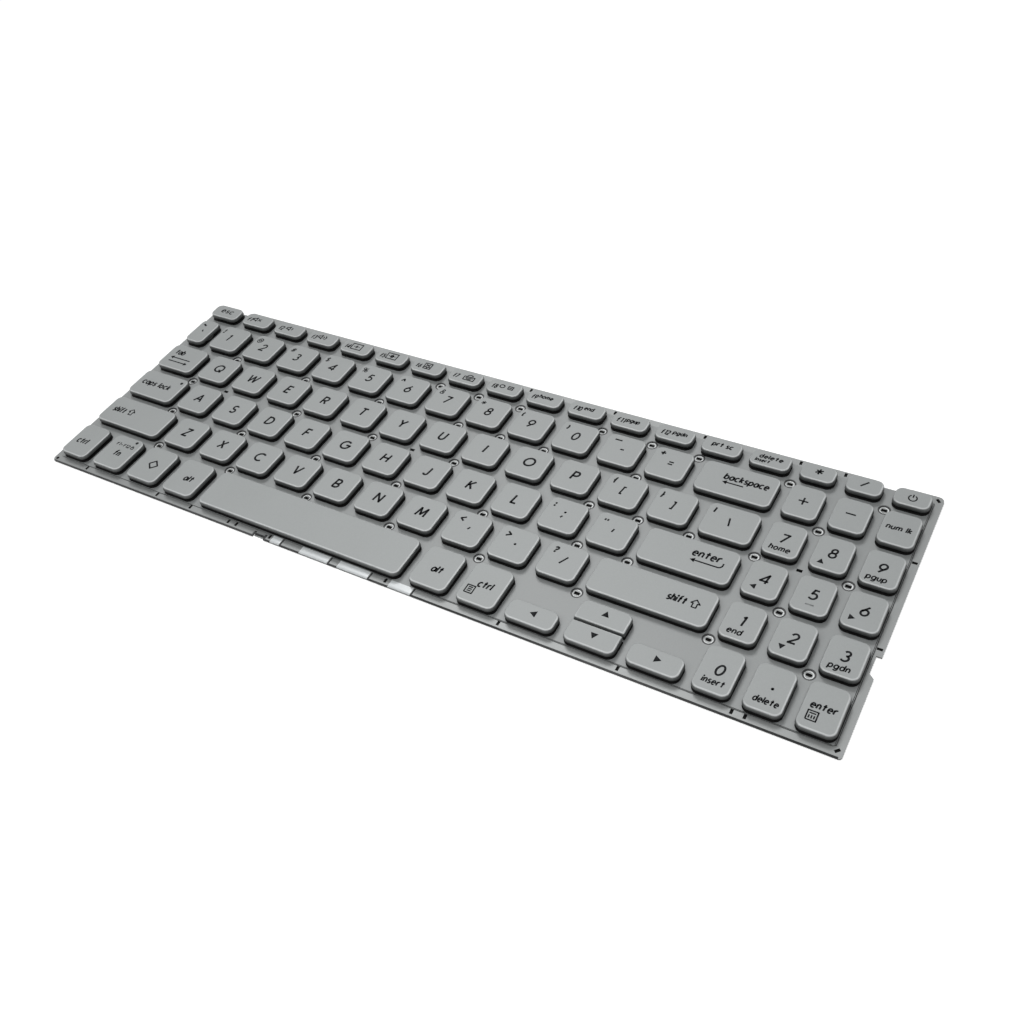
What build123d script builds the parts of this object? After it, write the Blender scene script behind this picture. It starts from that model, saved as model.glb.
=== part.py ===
from build123d import *
import os
from collections import namedtuple
from functools import cache
from math import asin, atan, cos, degrees, radians, sin, tan

# Laptop replacement keyboard: low keycaps on scissor frames and rubber domes, over a switch
# membrane that lies on a stamped plate. X runs along the rows, Y towards the back row, Z up.
# The origin is the centre of the plate's outline, on its underside. Sizes are in millimetres.

# Key grid, measured at the foot of the keycaps. The widths of the first keys count from the
# function row's left end, and the keys themselves start a little inside it.
key_pitch = 19.05
key_gap = 3.8
row_pitch = 18.65
row_gap = 3.4
tab_row_shift = 0.5 * key_pitch
caps_row_shift = 0.75 * key_pitch
shift_row_shift = 1.25 * key_pitch
grave_width = 10.6
left_key_inset = 0.9
backslash_width = 18.9
function_depth = 8.2
function_gap = 3.3
function_row_gap = 3.5
bottom_depth = 17.5
corner_key_width = 14.6
arrow_width = 18.3
arrow_split = 0.5
pad_pitch = 16.1
pad_gap = 3.5

# Stack height
plate_thickness = 0.5
membrane_thickness = 0.3
key_travel = 1.4
bottoming_clearance = 0.15
cap_height = 1.55

# Keycap moulding
cap_draft = 0.3
cap_corner_radius = 2.8
split_corner_radius = 0.6
corner_flat_turn = 30.0
cap_wall = 1.2
cap_roof = 0.75

# Rubber domes, scissor frames and stabiliser wires
dome_foot_radius = 3.2
dome_top_radius = 1.6
dome_sides = 5
frame_width = 12.0
frame_depth = 9.4
frame_bar = 1.1
frame_thickness = 0.5
frame_clearance = 0.3
hinge_clearance = 0.1
wire_radius = 0.4
wire_arm = 7.0
wire_end_inset = 2.0
wire_front_inset = 1.7
widest_plain_key = 26.0

# Plate outline and its margins round the key block
left_margin = 2.0
right_margin = 3.1
front_margin = 3.4
back_margin = 3.0
plate_corner_radius = 2.0
front_right_corner_radius = 1.0
back_step = 2.4
back_step_slope = 1.0
escape_step_overlap = 2.0
power_notch_reach = 5.0
side_notch_depth = 1.7
side_notch_length = 6.9
side_notch_setback = 1.15
side_notch_slope = 1.4

# Slots for the plastic stakes that hold the plate, and the membrane's clearances round them
stake_slot_length = 2.0
stake_slot_width = 1.2
stake_clearance_radius = 2.0
stake_clearance_sides = 6
stake_offset = 0.6
function_stake_offset = 1.7

# Small slots along the plate's edges
edge_slot_length = 1.8
edge_slot_width = 1.0
front_slot_inset = 2.2
back_slot_inset = 1.45
side_slot_inset = 1.5
corner_slot_inset = 1.9
front_corner_slot_inset = 2.5
corner_hole_inset = 1.7
corner_hole_radius = 0.7
corner_hole_sides = 8
pad_slot_step = 4.2
space_slot_offsets = (16.2, 20.0, 36.2, 88.0)

# Membrane margins inside the plate's outline, and its tails folded over the front edge
membrane_left_margin = 2.0
membrane_right_margin = 2.6
membrane_front_margin = 3.2
membrane_back_margin = 3.2
membrane_corner_radius = 1.5
tail_offsets = (37.5, 51.0, 68.0, 90.0)
tail_widths = (4.5, 13.0, 13.5, 9.5)
tail_bend_radius = 0.7
tail_clearance = 0.1
front_notch_offset = 29.5
front_notch_width = 5.0
front_notch_depth = 1.2

# Key names, row by row from the left
function_names = ["escape"] + [f"f{number}" for number in range(1, 13)] + ["print_screen", "delete"]
number_names = list("1234567890") + ["minus", "equals"]
tab_names = list("qwertyuiop") + ["left_bracket", "right_bracket"]
caps_names = list("asdfghjkl") + ["semicolon", "apostrophe"]
shift_names = list("zxcvbnm") + ["comma", "full_stop", "slash"]
left_bottom_names = ["fn", "start", "left_alt"]
right_bottom_names = ["right_alt", "right_ctrl"]
pad_names = {
    "function": ["pad_times", "pad_divide", "power"],
    "number": ["pad_plus", "pad_minus", "num_lock"],
    "tab": ["pad_7", "pad_8", "pad_9"],
    "caps": ["pad_4", "pad_5", "pad_6"],
    "shift": ["pad_1", "pad_2", "pad_3"],
    "bottom": ["pad_0", "pad_point", "pad_enter"],
}

# A stake slot stands in the gap to the right of each of these keys, a few of them off its middle.
# The mount slots have round ends, the plain slots have no clearance in the membrane.
stake_keys = {
    "function": ["f6", "f7", "f8", "f10", "f11", "f12", "delete", "pad_divide"],
    "number": ["1", "3", "5", "7", "8", "9", "minus", "pad_plus"],
    "tab": ["tab", "e", "t", "u", "p", "left_bracket", "right_bracket", "backslash", "pad_8"],
    "caps": ["caps_lock", "s", "f", "h", "k", "semicolon", "apostrophe", "pad_4"],
    "shift": ["left_shift", "x", "v", "n", "comma", "slash", "right_shift", "pad_2"],
}
stake_shift = {"f8": 0.9, "f11": 2.3, "f12": 2.7, "pad_divide": 0.6, "backslash": 0.8}
mount_slot_keys = ["caps_lock", "apostrophe", "right_shift", "pad_2"]
plain_slot_keys = {"tab": ["q", "y", "pad_7"]}

# Edge slots stand in line with the gaps to the right of these keys, a few of them off its middle
front_slot_keys = ["left_ctrl", "start", "left_alt", "right_ctrl", "arrow_down", "pad_0"]
back_slot_keys = ["f8", "f10", "f12", "delete", "pad_times"]
edge_slot_shift = {
    "start": 0.6,
    "left_alt": -1.1,
    "right_ctrl": 1.0,
    "arrow_down": 0.6,
    "f8": -0.5,
    "f12": 0.3,
}

# Heights
membrane_z = plate_thickness + membrane_thickness
skirt_z = membrane_z + key_travel + bottoming_clearance
cap_top_z = skirt_z + cap_height
roof_z = cap_top_z - cap_roof
mechanism_height = roof_z - membrane_z
mechanism_z = (roof_z + membrane_z) / 2

# Key block, from its front left corner
cap_width = key_pitch - key_gap
cap_depth = row_pitch - row_gap
pad_width = pad_pitch - pad_gap
tab_width = grave_width + tab_row_shift
main_width = tab_width + key_gap + len(tab_names) * key_pitch + backslash_width
pad_left = main_width + pad_gap
block_width = pad_left + 3 * pad_pitch - pad_gap
row_y = {"bottom": bottom_depth / 2, "shift": bottom_depth + row_gap + cap_depth / 2}
row_y["caps"] = row_y["shift"] + row_pitch
row_y["tab"] = row_y["caps"] + row_pitch
row_y["number"] = row_y["tab"] + row_pitch
row_y["function"] = row_y["number"] + cap_depth / 2 + function_row_gap + function_depth / 2
row_depth = dict.fromkeys(row_y, cap_depth)
row_depth["function"] = function_depth
row_depth["bottom"] = bottom_depth
block_depth = row_y["function"] + function_depth / 2

# Plate edges
plate_left = -left_margin
plate_right = block_width + right_margin
plate_front = -front_margin
plate_back = block_depth + back_margin
centre = Pos(-(plate_left + plate_right) / 2, -(plate_front + plate_back) / 2, 0)

Key = namedtuple("Key", "name row x y width depth")


def key_between(name, row, left, right):
    """One key that fills its row from its left to its right edge."""
    return Key(name, row, (left + right) / 2, row_y[row], right - left, row_depth[row])


def keys_in_line(names, row, left, pitch, gap):
    """Equal keys in a line, the first one's left edge at left."""
    edges = [left + pitch * index for index in range(len(names))]
    return [key_between(name, row, edge, edge + pitch - gap) for name, edge in zip(names, edges)]


def letter_row(row, first, names, last, first_width):
    """A row of equal keys between a wide first key and a last key that fills the block."""
    start = first_width + key_gap
    end = start + len(names) * key_pitch
    keys = [key_between(first, row, left_key_inset, first_width)]
    keys += keys_in_line(names, row, start, key_pitch, key_gap)
    return keys + [key_between(last, row, end, main_width)]


def arrow_keys():
    """Half-height cursor keys at the bottom row's right end, up above down."""
    half = (bottom_depth - arrow_split) / 2
    low = half / 2
    high = bottom_depth - half / 2
    right = main_width - arrow_width / 2
    step = arrow_width + pad_gap
    return [
        Key("arrow_left", "bottom", right - 2 * step, low, arrow_width, half),
        Key("arrow_up", "bottom", right - step, high, arrow_width, half),
        Key("arrow_down", "bottom", right - step, low, arrow_width, half),
        Key("arrow_right", "bottom", right, low, arrow_width, half),
    ]


def bottom_row():
    """Control keys, a space bar that fills the middle, and the cursor keys."""
    arrows = arrow_keys()
    right_start = arrows[0].x - arrow_width / 2 - pad_gap - 2 * key_pitch + key_gap
    left_start = corner_key_width + key_gap
    space_left = left_start + len(left_bottom_names) * key_pitch
    keys = [key_between("left_ctrl", "bottom", left_key_inset, corner_key_width)]
    keys += keys_in_line(left_bottom_names, "bottom", left_start, key_pitch, key_gap)
    keys += [key_between("space", "bottom", space_left, right_start - key_gap)]
    keys += keys_in_line(right_bottom_names, "bottom", right_start, key_pitch, key_gap)
    return keys + arrows


def key_layout():
    """Every key of the block with its place and size."""
    function_pitch = (main_width + function_gap) / len(function_names)
    keys = keys_in_line(function_names, "function", 0, function_pitch, function_gap)
    keys += letter_row("number", "grave", number_names, "backspace", grave_width)
    keys += letter_row("tab", "tab", tab_names, "backslash", tab_width)
    keys += letter_row("caps", "caps_lock", caps_names, "enter", grave_width + caps_row_shift)
    keys += letter_row("shift", "left_shift", shift_names, "right_shift",
                       grave_width + shift_row_shift)
    keys += bottom_row()
    for row, names in pad_names.items():
        keys += keys_in_line(names, row, pad_left, pad_pitch, pad_gap)
    return {key.name: key for key in keys}


def flat_cornered(corners):
    """Face with corners (x, y, radius), each arc drawn as equal flats between points on it."""
    points = []
    for index, (x, y, radius) in enumerate(corners):
        corner = Vector(x, y)
        if not radius:
            points.append(corner)
            continue
        arriving = (corner - Vector(*corners[index - 1][:2])).normalized()
        leaving = (Vector(*corners[(index + 1) % len(corners)][:2]) - corner).normalized()
        turn = arriving.get_signed_angle(leaving, Vector(0, 0, 1))
        flats = max(1, round(abs(turn) / corner_flat_turn))
        half_step = radians(abs(turn)) / flats / 2
        point = corner - arriving * radius * tan(half_step * flats)
        direction = arriving
        for flat in range(flats):
            direction = direction.rotate(Axis.Z, turn / flats / (2 if flat == 0 else 1))
            points.append(point)
            point = point + direction * 2 * radius * sin(half_step)
        points.append(point)
    return make_face(Polyline(*points, close=True))


def rounded_rectangle(width, depth, front_radius, back_radius):
    """Rectangle about the origin with its front and back corners drawn as flats."""
    x, y = width / 2, depth / 2
    front = [(-x, -y, front_radius), (x, -y, front_radius)]
    back = [(x, y, back_radius), (-x, y, back_radius)]
    return flat_cornered(front + back)


@cache
def keycap(width, depth, front_radius, back_radius):
    """Keycap, open below: the skirt's outline drawn up with draft, and a pocket under its roof."""
    foot = rounded_rectangle(width, depth, front_radius, back_radius)
    body = extrude(foot, cap_height, taper=degrees(atan(cap_draft / cap_height)))
    pocket = extrude(Rectangle(width - 2 * cap_wall, depth - 2 * cap_wall), roof_z - skirt_z)
    return Pos(0, 0, skirt_z) * (body - pocket)


def placed_keycap(key):
    """A key's cap in its place. The two half-height cursor keys face each other with small corners."""
    front = split_corner_radius if key.name == "arrow_up" else cap_corner_radius
    back = split_corner_radius if key.name == "arrow_down" else cap_corner_radius
    return placed(key, keycap(key.width, key.depth, front, back))


def rubber_dome():
    """Faceted dome from the membrane up to the keycap's roof."""
    flat_step = (dome_foot_radius - dome_top_radius) * cos(radians(180 / dome_sides))
    foot = RegularPolygon(dome_foot_radius, dome_sides)
    dome = extrude(foot, mechanism_height, taper=degrees(atan(flat_step / mechanism_height)))
    return Pos(0, 0, membrane_z) * dome


def leaning_angle(length, thickness):
    """Lean that fits a bar of this length between the membrane and the keycap's roof."""
    return degrees(asin((mechanism_height - 2 * hinge_clearance - thickness) / length))


def scissor_frame(width, lean):
    """U-shaped scissor lever, its cross bar in front, leaning about X."""
    outline = Rectangle(width, frame_depth)
    outline -= Pos(0, frame_bar) * Rectangle(width - 2 * frame_bar, frame_depth)
    return Rot(X=lean) * extrude(outline, frame_thickness / 2, both=True)


def stabiliser_wire(key):
    """U-shaped wire along a wide key: high at the keycap's front, its ends down at the plate."""
    half = key.width / 2 - wire_end_inset
    back, front = wire_arm / 2, -wire_arm / 2
    path = Polyline((-half, back), (-half, front), (half, front), (half, back))
    section = Plane(path @ 0, z_dir=path % 0) * RegularPolygon(wire_radius, 6)
    wire = sweep(section, path=path, transition=Transition.RIGHT)
    lean = leaning_angle(wire_arm, 2 * wire_radius)
    return Pos(0, wire_front_inset + wire_arm / 2 - key.depth / 2, mechanism_z) * Rot(X=-lean) * wire


def gap_after(key):
    """Middle of the gap to the right of a key: half the gap of its own part of the block."""
    if key.name in pad_side:
        gap = pad_gap
    elif key.row == "function":
        gap = function_gap
    else:
        gap = key_gap
    return key.x + key.width / 2 + gap / 2


def stake_places(names_by_row):
    """Stake centres by key name, just in front of the row's keycaps."""
    places = {}
    for row, names in names_by_row.items():
        offset = function_stake_offset if row == "function" else stake_offset
        y = row_y[row] - row_depth[row] / 2 - offset
        for name in names:
            places[name] = (gap_after(keys[name]) + stake_shift.get(name, 0), y)
    return places


def plate_outline():
    """Plate edge: stepped back edge at both ends, a notch with a sloping end on the right."""
    escape_end = gap_after(keys["escape"]) - escape_step_overlap / 2
    power_gap = gap_after(keys["pad_divide"])
    notch_left = power_gap - power_notch_reach
    notch_right = power_gap + power_notch_reach
    stepped_back = plate_back - back_step
    side_top = row_y["shift"] + row_depth["shift"] / 2 - side_notch_setback
    side_bottom = side_top - side_notch_length
    notch_x = plate_right - side_notch_depth
    corners = [
        (plate_left, plate_front, plate_corner_radius),
        (plate_right, plate_front, front_right_corner_radius),
        (plate_right, side_bottom - side_notch_slope, 0),
        (notch_x, side_bottom, 0),
        (notch_x, side_top, 0),
        (plate_right, side_top, 0),
        (plate_right, plate_back, plate_corner_radius),
        (notch_right + back_step_slope, plate_back, 0),
        (notch_right, stepped_back, 0),
        (notch_left, stepped_back, 0),
        (notch_left - back_step_slope, plate_back, 0),
        (escape_end + back_step_slope, plate_back, 0),
        (escape_end, stepped_back, 0),
        (plate_left, stepped_back, plate_corner_radius),
    ]
    return flat_cornered(corners)


def edge_slots():
    """Small slots along the front, back and right edges, and the three corner holes."""
    along_y = Rectangle(edge_slot_width, edge_slot_length)
    along_x = Rectangle(edge_slot_length, edge_slot_width)
    front_y = plate_front + front_slot_inset
    back_y = plate_back - back_slot_inset
    side_x = plate_right - side_slot_inset
    space_left = keys["space"].x - keys["space"].width / 2
    front_x = [gap_after(keys[name]) + edge_slot_shift.get(name, 0) for name in front_slot_keys]
    front_x += [space_left + offset for offset in space_slot_offsets]
    front_x += [gap_after(keys["pad_0"]) + pad_slot_step]
    back_x = [gap_after(keys[name]) + edge_slot_shift.get(name, 0) for name in back_slot_keys]
    slots = [Pos(x, front_y) * along_y for x in front_x]
    slots += [Pos(x, back_y) * along_y for x in back_x]
    for row in ("number", "caps"):
        gap_y = row_y[row] - row_depth[row] / 2 - row_gap / 2
        slots += [Pos(side_x, gap_y) * along_x]
    corner_x = plate_right - corner_slot_inset
    slots += [Pos(corner_x, plate_front + front_corner_slot_inset) * Rot(Z=45) * along_x]
    slots += [Pos(corner_x, plate_back - corner_slot_inset) * Rot(Z=-45) * along_x]
    hole = RegularPolygon(corner_hole_radius, corner_hole_sides)
    return slots + [Pos(plate_left + corner_hole_inset, plate_front + corner_hole_inset) * hole]


def tail_places():
    """Middle and width of each membrane tail, counted from the space bar's left end."""
    space_left = keys["space"].x - keys["space"].width / 2
    return [(space_left + offset + width / 2, width) for offset, width in zip(tail_offsets, tail_widths)]


def front_notches():
    """Recesses in the plate's front edge: one for each membrane tail, and one open notch."""
    depth = tail_bend_radius + tail_clearance
    notches = [
        Pos(x, plate_front + depth / 2) * Rectangle(width + 2 * tail_clearance, depth)
        for x, width in tail_places()
    ]
    space_left = keys["space"].x - keys["space"].width / 2
    notch_x = space_left + front_notch_offset + front_notch_width / 2
    notch = Rectangle(front_notch_width, front_notch_depth)
    return notches + [Pos(notch_x, plate_front + front_notch_depth / 2) * notch]


def base_plate():
    """Stamped plate with its stake slots, edge slots and front recesses."""
    plain_slot = Rectangle(stake_slot_length, stake_slot_width)
    round_slot = SlotOverall(stake_slot_length, stake_slot_width)
    cuts = edge_slots() + front_notches()
    for name, (x, y) in {**stakes, **plain_stakes}.items():
        cuts += [Pos(x, y) * (round_slot if name in mount_slot_keys else plain_slot)]
    return extrude(plate_outline() - cuts, plate_thickness)


def membrane_tail(width):
    """Tail that leaves the membrane's front edge and bends down over the plate's front edge."""
    root_y = plate_front + membrane_front_margin
    inner_y = plate_front + membrane_thickness
    profile = flat_cornered([
        (root_y, membrane_z, 0),
        (plate_front, membrane_z, tail_bend_radius),
        (plate_front, 0, 0),
        (inner_y, 0, 0),
        (inner_y, plate_thickness, tail_bend_radius - membrane_thickness),
        (root_y, plate_thickness, 0),
    ])
    return extrude(Plane.YZ * profile, width / 2, both=True)


def switch_membrane():
    """Laminated switch sheet with a clearance round each stake slot and its folded tails."""
    left = plate_left + membrane_left_margin
    right = plate_right - membrane_right_margin
    front = plate_front + membrane_front_margin
    back = plate_back - membrane_back_margin
    outline = rounded_rectangle(right - left, back - front, membrane_corner_radius, membrane_corner_radius)
    clearance = RegularPolygon(stake_clearance_radius, stake_clearance_sides)
    plain_slot = Rectangle(stake_slot_length, stake_slot_width)
    cuts = [Pos(x, y) * clearance for x, y in stakes.values()]
    cuts += [Pos(x, y) * plain_slot for x, y in plain_stakes.values()]
    sheet = Pos((left + right) / 2, (front + back) / 2) * outline - cuts
    membrane = Pos(0, 0, plate_thickness) * extrude(sheet, membrane_thickness)
    return membrane + [Pos(x, 0, 0) * membrane_tail(width) for x, width in tail_places()]


def placed(key, solid):
    """A solid of one key, moved to that key's place in the row."""
    return centre * Pos(key.x, key.y, 0) * solid


keys = key_layout()
pad_side = {"delete", "backspace", "backslash", "enter", "right_shift"}
pad_side |= {"right_ctrl", "arrow_left", "arrow_up", "arrow_down", "arrow_right"}
pad_side |= {name for names in pad_names.values() for name in names}
stakes = stake_places(stake_keys)
plain_stakes = stake_places(plain_slot_keys)

# Keys that move each have a node of their own. The others share one node per group.
scissor_rows = ("tab", "caps", "shift")
moving = [key for key in keys.values() if key.name == "power" or
          (key.row in scissor_rows + ("bottom",) and not key.name.startswith("pad_"))]
fixed = [key for key in keys.values() if key not in moving]
fixed_groups = {
    "number_pad_keycaps": [key for key in fixed if key.row != "function" and key.x > main_width],
    "function_row_keycaps": [key for key in fixed if key.row == "function"],
    "number_row_keycaps": [key for key in fixed if key.row == "number" and key.x < main_width],
}
scissor_keys = [key for key in moving if key.row in scissor_rows]
wire_keys = [key for key in keys.values() if key.width > widest_plain_key]

lean = leaning_angle(frame_depth, frame_thickness)
inner_width = frame_width - 2 * frame_bar - 2 * frame_clearance
outer_frame = Pos(0, 0, mechanism_z) * scissor_frame(frame_width, lean)
inner_frame = Pos(0, 0, mechanism_z) * scissor_frame(inner_width, -lean)
dome = rubber_dome()

parts = {
    "base_plate": centre * base_plate(),
    "membrane": centre * switch_membrane(),
    "rubber_domes": Compound([placed(key, dome).solid() for key in keys.values()]),
    "scissor_outer_frames": Compound([placed(key, outer_frame).solid() for key in scissor_keys]),
    "scissor_inner_frames": Compound([placed(key, inner_frame).solid() for key in scissor_keys]),
    "stabiliser_wires": Compound([placed(key, stabiliser_wire(key)).solid() for key in wire_keys]),
}
for group, members in fixed_groups.items():
    parts[group] = Compound([placed_keycap(key).solid() for key in members])
for key in moving:
    parts[f"keycap_{key.name}"] = placed_keycap(key)

os.makedirs("parts", exist_ok=True)
for name, part in parts.items():
    export_step(part, f"parts/{name}.step")
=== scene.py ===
from collections import namedtuple

import bpy
import numpy as np
from mathutils import Euler, Matrix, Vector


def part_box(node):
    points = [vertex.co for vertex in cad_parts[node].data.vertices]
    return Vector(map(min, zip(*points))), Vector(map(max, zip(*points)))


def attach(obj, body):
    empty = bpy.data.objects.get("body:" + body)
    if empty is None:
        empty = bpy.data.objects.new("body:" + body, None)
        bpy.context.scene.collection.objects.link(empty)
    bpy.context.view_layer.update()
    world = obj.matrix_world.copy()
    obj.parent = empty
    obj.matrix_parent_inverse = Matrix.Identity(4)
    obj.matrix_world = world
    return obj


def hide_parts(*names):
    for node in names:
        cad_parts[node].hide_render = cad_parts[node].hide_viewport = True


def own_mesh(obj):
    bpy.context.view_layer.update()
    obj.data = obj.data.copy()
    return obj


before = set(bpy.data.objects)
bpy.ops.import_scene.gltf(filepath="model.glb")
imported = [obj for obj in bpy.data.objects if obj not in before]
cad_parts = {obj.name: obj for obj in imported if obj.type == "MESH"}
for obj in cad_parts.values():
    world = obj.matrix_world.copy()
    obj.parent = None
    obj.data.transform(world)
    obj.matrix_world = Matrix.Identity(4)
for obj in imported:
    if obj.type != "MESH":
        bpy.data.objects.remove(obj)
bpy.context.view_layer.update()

# Laptop replacement keyboard in the CAD model's frame: X along the rows, Y towards the back row,
# Z up. Shapes are worked out in millimetres and stored in metres.
METRES = 0.001

# Keycap moulding
CORNER_RADIUS = 2.8
SPLIT_CORNER_RADIUS = 0.6
CORNER_POINTS = 9
CAP_DRAFT = 0.3
CAP_WALL = 1.2
CAP_ROOF = 0.75
EDGE_FILLET = 0.35
FILLET_POINTS = 6
SKIRT_EDGE = 0.1
WALL_RINGS = 8
TOP_MARGINS = (0.12, 0.4)
FUNCTION_GAP = 3.3
# Painted shade on a cap's wall, at depths below its top that are given in edge fillets; full below them and
# on its underside
SHADE_DEPTHS = (0, 0.4, 1.0, 1.5, 2.6, 3.8)
SHADE_SHARES = (0, 0.1, 0.65, 0.5, 0.8, 1.0)
# Painted highlight on a cap's top edge: a part of it all round, and more at the right and the front
HIGHLIGHT_ROUND = 0.35
HIGHLIGHT_RIGHT = 0.7
HIGHLIGHT_FRONT = 0.8
# Run of that share over the edge fillet, from its foot to its top, cut off at one
HIGHLIGHT_SHARES = (0.4, 2.2)

# Paths: degrees between an arc's points, how near two points count as one, and the least divisor at a
# corner
ARC_STEP = 15
SAME_POINT = 0.001
CORNER_LIMIT = 0.4

# Printed legends
LETTER_HEIGHT = 3.9
LETTER_STROKE = 0.84
LETTER_Y = 0.35
SIGN_STROKE = 0.64
DIGIT_SIZE = 4.5
DIGIT_STROKE = 0.72
PAD_DIGIT_PLACE = (0.1, 0.3)
SYMBOL_STROKE = 0.68
FINE_SYMBOL_STROKE = 0.42
WORD_HEIGHT = 2.75
WORD_STROKE = 0.66
SMALL_HEIGHT = 2.2
SMALL_STROKE = 0.5
TINY_HEIGHT = 1.85
TINY_STROKE = 0.5
ICON_STROKE = 0.48
ARROW_STROKE = 0.56
# A stroke is parted where the cosine of its turn is lower, and reaches past it by a share of its width
SHARP_TURN = 0.4
SHARP_REACH = 0.3
# Shares of a letter's height
SLANT = 0.16
LETTER_GAP = 0.2
SPACE_WIDTH = 0.2
CAPITAL_LEVEL = 0.5
SMALL_LEVEL = 0.34
DOT_RADIUS = 0.035
FINE_SYMBOLS = "@#%&$*"
ARROW_HEAD = 1.7
CURSOR_SIZE = 2.3
PAD_ARROW_SIZE = 2.0
TRIANGLE_WIDTH = 1.15
TIP_WIDTH = 0.02
PAD_WORD_Y = -4.45
FUNCTION_NUMBER_Y = -0.7
PRINT_THICKNESS = 0.03
HOMING_LENGTH = 2.8
HOMING_WIDTH = 0.52
HOMING_Y = -4.0
HOMING_SHADE = 0.4

# Mechanism
DOME_FOOT = 3.2
DOME_MARGIN = 2.2
DOME_FLANGE = 0.25
DOME_GAP = 0.02
DOME_SIDES = 18
# A dome's profile above its flange, in shares of its foot's radius, and the whole one's heights
DOME_RADII = (1.0, 0.72, 0.6, 0.5, 0.5, 0.46)
DOME_HEIGHTS = (0, 0.12, 0.22, 0.66, 0.78, 0.84, 0.97, 1.0)
LEVER_WIDTH = 12.0
LEVER_DEPTH = 9.4
LEVER_BAR = 1.1
LEVER_THICKNESS = 0.5
LEVER_CLEARANCE = 0.3
LEVER_MARGIN = 3.2
LEVER_CORNER = 0.9
HINGE_CLEARANCE = 0.1
WIRE_RADIUS = 0.4
WIRE_SIDES = 10
WIRE_CORNER = 1.2
WIRE_ARM = 7.0
WIRE_END_INSET = 2.0
WIRE_FRONT_INSET = 1.7

# Stake clearances and slots, membrane edge and tails
STAKE_OFFSET = 0.6
FUNCTION_STAKE_OFFSET = 1.7
STAKE_SLOT = (2.0, 1.2)
EDGE_SLOT = (1.8, 1.0)
FRONT_SLOT_INSET = 2.2
BACK_SLOT_INSET = 1.45
SIDE_SLOT_INSET = 1.5
SIDE_SLOT_OFFSET = 1.7
CORNER_SLOT_INSET = 1.9
FRONT_CORNER_SLOT_INSET = 2.5
CORNER_HOLE_INSET = 1.7
CORNER_HOLE_RADIUS = 0.7
SPACE_SLOTS = (16.2, 20.0, 36.2, 88.0)
PAD_SLOT_STEP = 4.2
# Painted shade in the plate's slots: its margin round a slot and its heights in the plate
SLOT_SHADE_MARGIN = 0.1
SLOT_SHADE_HEIGHTS = (0.02, 0.1)
RIM_INNER = 1.7
RIM_OUTER = 2.18
RIM_RISE = 0.04
RIM_EDGE = 0.03
RIM_SIDES = 28
# Painted highlight ring on the plate inside each clearance
HIGHLIGHT_RING_INNER = 1.2
HIGHLIGHT_RING_GAP = 0.04
HIGHLIGHT_RING_RISE = 0.015
# Inset of the painted shade under each cap from the cap's outline
UNDER_CAP_SHADE_INSET = 0.05
# How far thin leaves and lines reach into what carries them, and how far they rise above it
LEAF_FOOT = 0.1
UNDER_CAP_SHADE_RISE = 0.015
FILM_LINE_RISE = 0.02
PLATE_LINE_RISE = 0.03
# Membrane's front edge, counted from the plate's, and the painted shadow lines along its edges
FILM_FRONT = 3.2
SHADOW_LINE_WIDTH = 0.2
SHADOW_LINE_STEP = 0.36
SHADOW_LINE_INSET = 0.1
SHADOW_LINE_FRONT_END = 0.5
SHADOW_LINE_BACK_END = 0.7
FRONT_SHADOW_INSET = 0.2
FRONT_SHADOW_END = 1.3
TAIL_OFFSETS = (37.5, 51.0, 68.0, 90.0)
TAIL_WIDTHS = (4.5, 13.0, 13.5, 9.5)
TAIL_BEND = 0.7
TAIL_START = 3.1
TAIL_END_Z = 0.02
TAIL_ROWS = 8
TAIL_COLUMNS = 17
TAIL_SIDE_GAP = 0.15
TAIL_LIFT = 0.01
TAIL_BULGE = 0.1
TAIL_LINE_GAP = 0.3
NOTCH_OFFSET = 29.5
NOTCH_WIDTH = 5.0
NOTCH_DEPTH = 1.2
TONGUE_GAP = 0.4
TONGUE_WIDTH = 0.7
TONGUE_HEIGHTS = (0.02, 0.15)
# Painted shadow along the plate's front edge, and at the notch's inner corners
PLATE_EDGE_SHADOW = 0.6
PLATE_EDGE_SHADOW_GAP = 0.1
PLATE_EDGE_SHADOW_LEFT = 1.2
PLATE_EDGE_SHADOW_RIGHT = 1.0
CORNER_SHADOW = 1.0
CORNER_SHADOW_OFFSET = 0.4

Sheet = namedtuple("Sheet", "points quads triangles rim side")
Box = namedtuple("Box", "left right front back")


def box_mm(node):
    """Lowest and highest corner of a CAD node in millimetres."""
    low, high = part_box(node)
    return np.array(low) / METRES, np.array(high) / METRES


def plan_box(node):
    """Outline box of a CAD node seen from above."""
    low, high = box_mm(node)
    return Box(low[0], high[0], low[1], high[1])


def shifted(box, x, y):
    """A box moved by x and y."""
    return Box(box.left + x, box.right + x, box.front + y, box.back + y)


def middle(box):
    """Centre of a box seen from above."""
    return np.array([(box.left + box.right) / 2, (box.front + box.back) / 2])


# Key places, all taken from the CAD nodes: the moving keys have a node each, and the others stand
# on the same grid
SKIRT_Z = box_mm("keycap_q")[0][2]
TOP_Z = box_mm("keycap_q")[1][2]
MEMBRANE_Z = box_mm("membrane")[1][2]
PLATE_Z = box_mm("base_plate")[1][2]
ROOF_Z = TOP_Z - CAP_ROOF
MECHANISM = ROOF_Z - MEMBRANE_Z
MOVING = [node.removeprefix("keycap_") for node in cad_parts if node.startswith("keycap_")]
keys = {name: plan_box("keycap_" + name) for name in MOVING}
KEY_PITCH = keys["w"].left - keys["q"].left
KEY_GAP = keys["w"].left - keys["q"].right
ROW_PITCH = keys["q"].front - keys["a"].front
PAD_GAP = keys["arrow_right"].left - keys["arrow_down"].right
FUNCTION_LEFT = box_mm("function_row_keycaps")[0][0]
MAIN_RIGHT = keys["enter"].right


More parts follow.
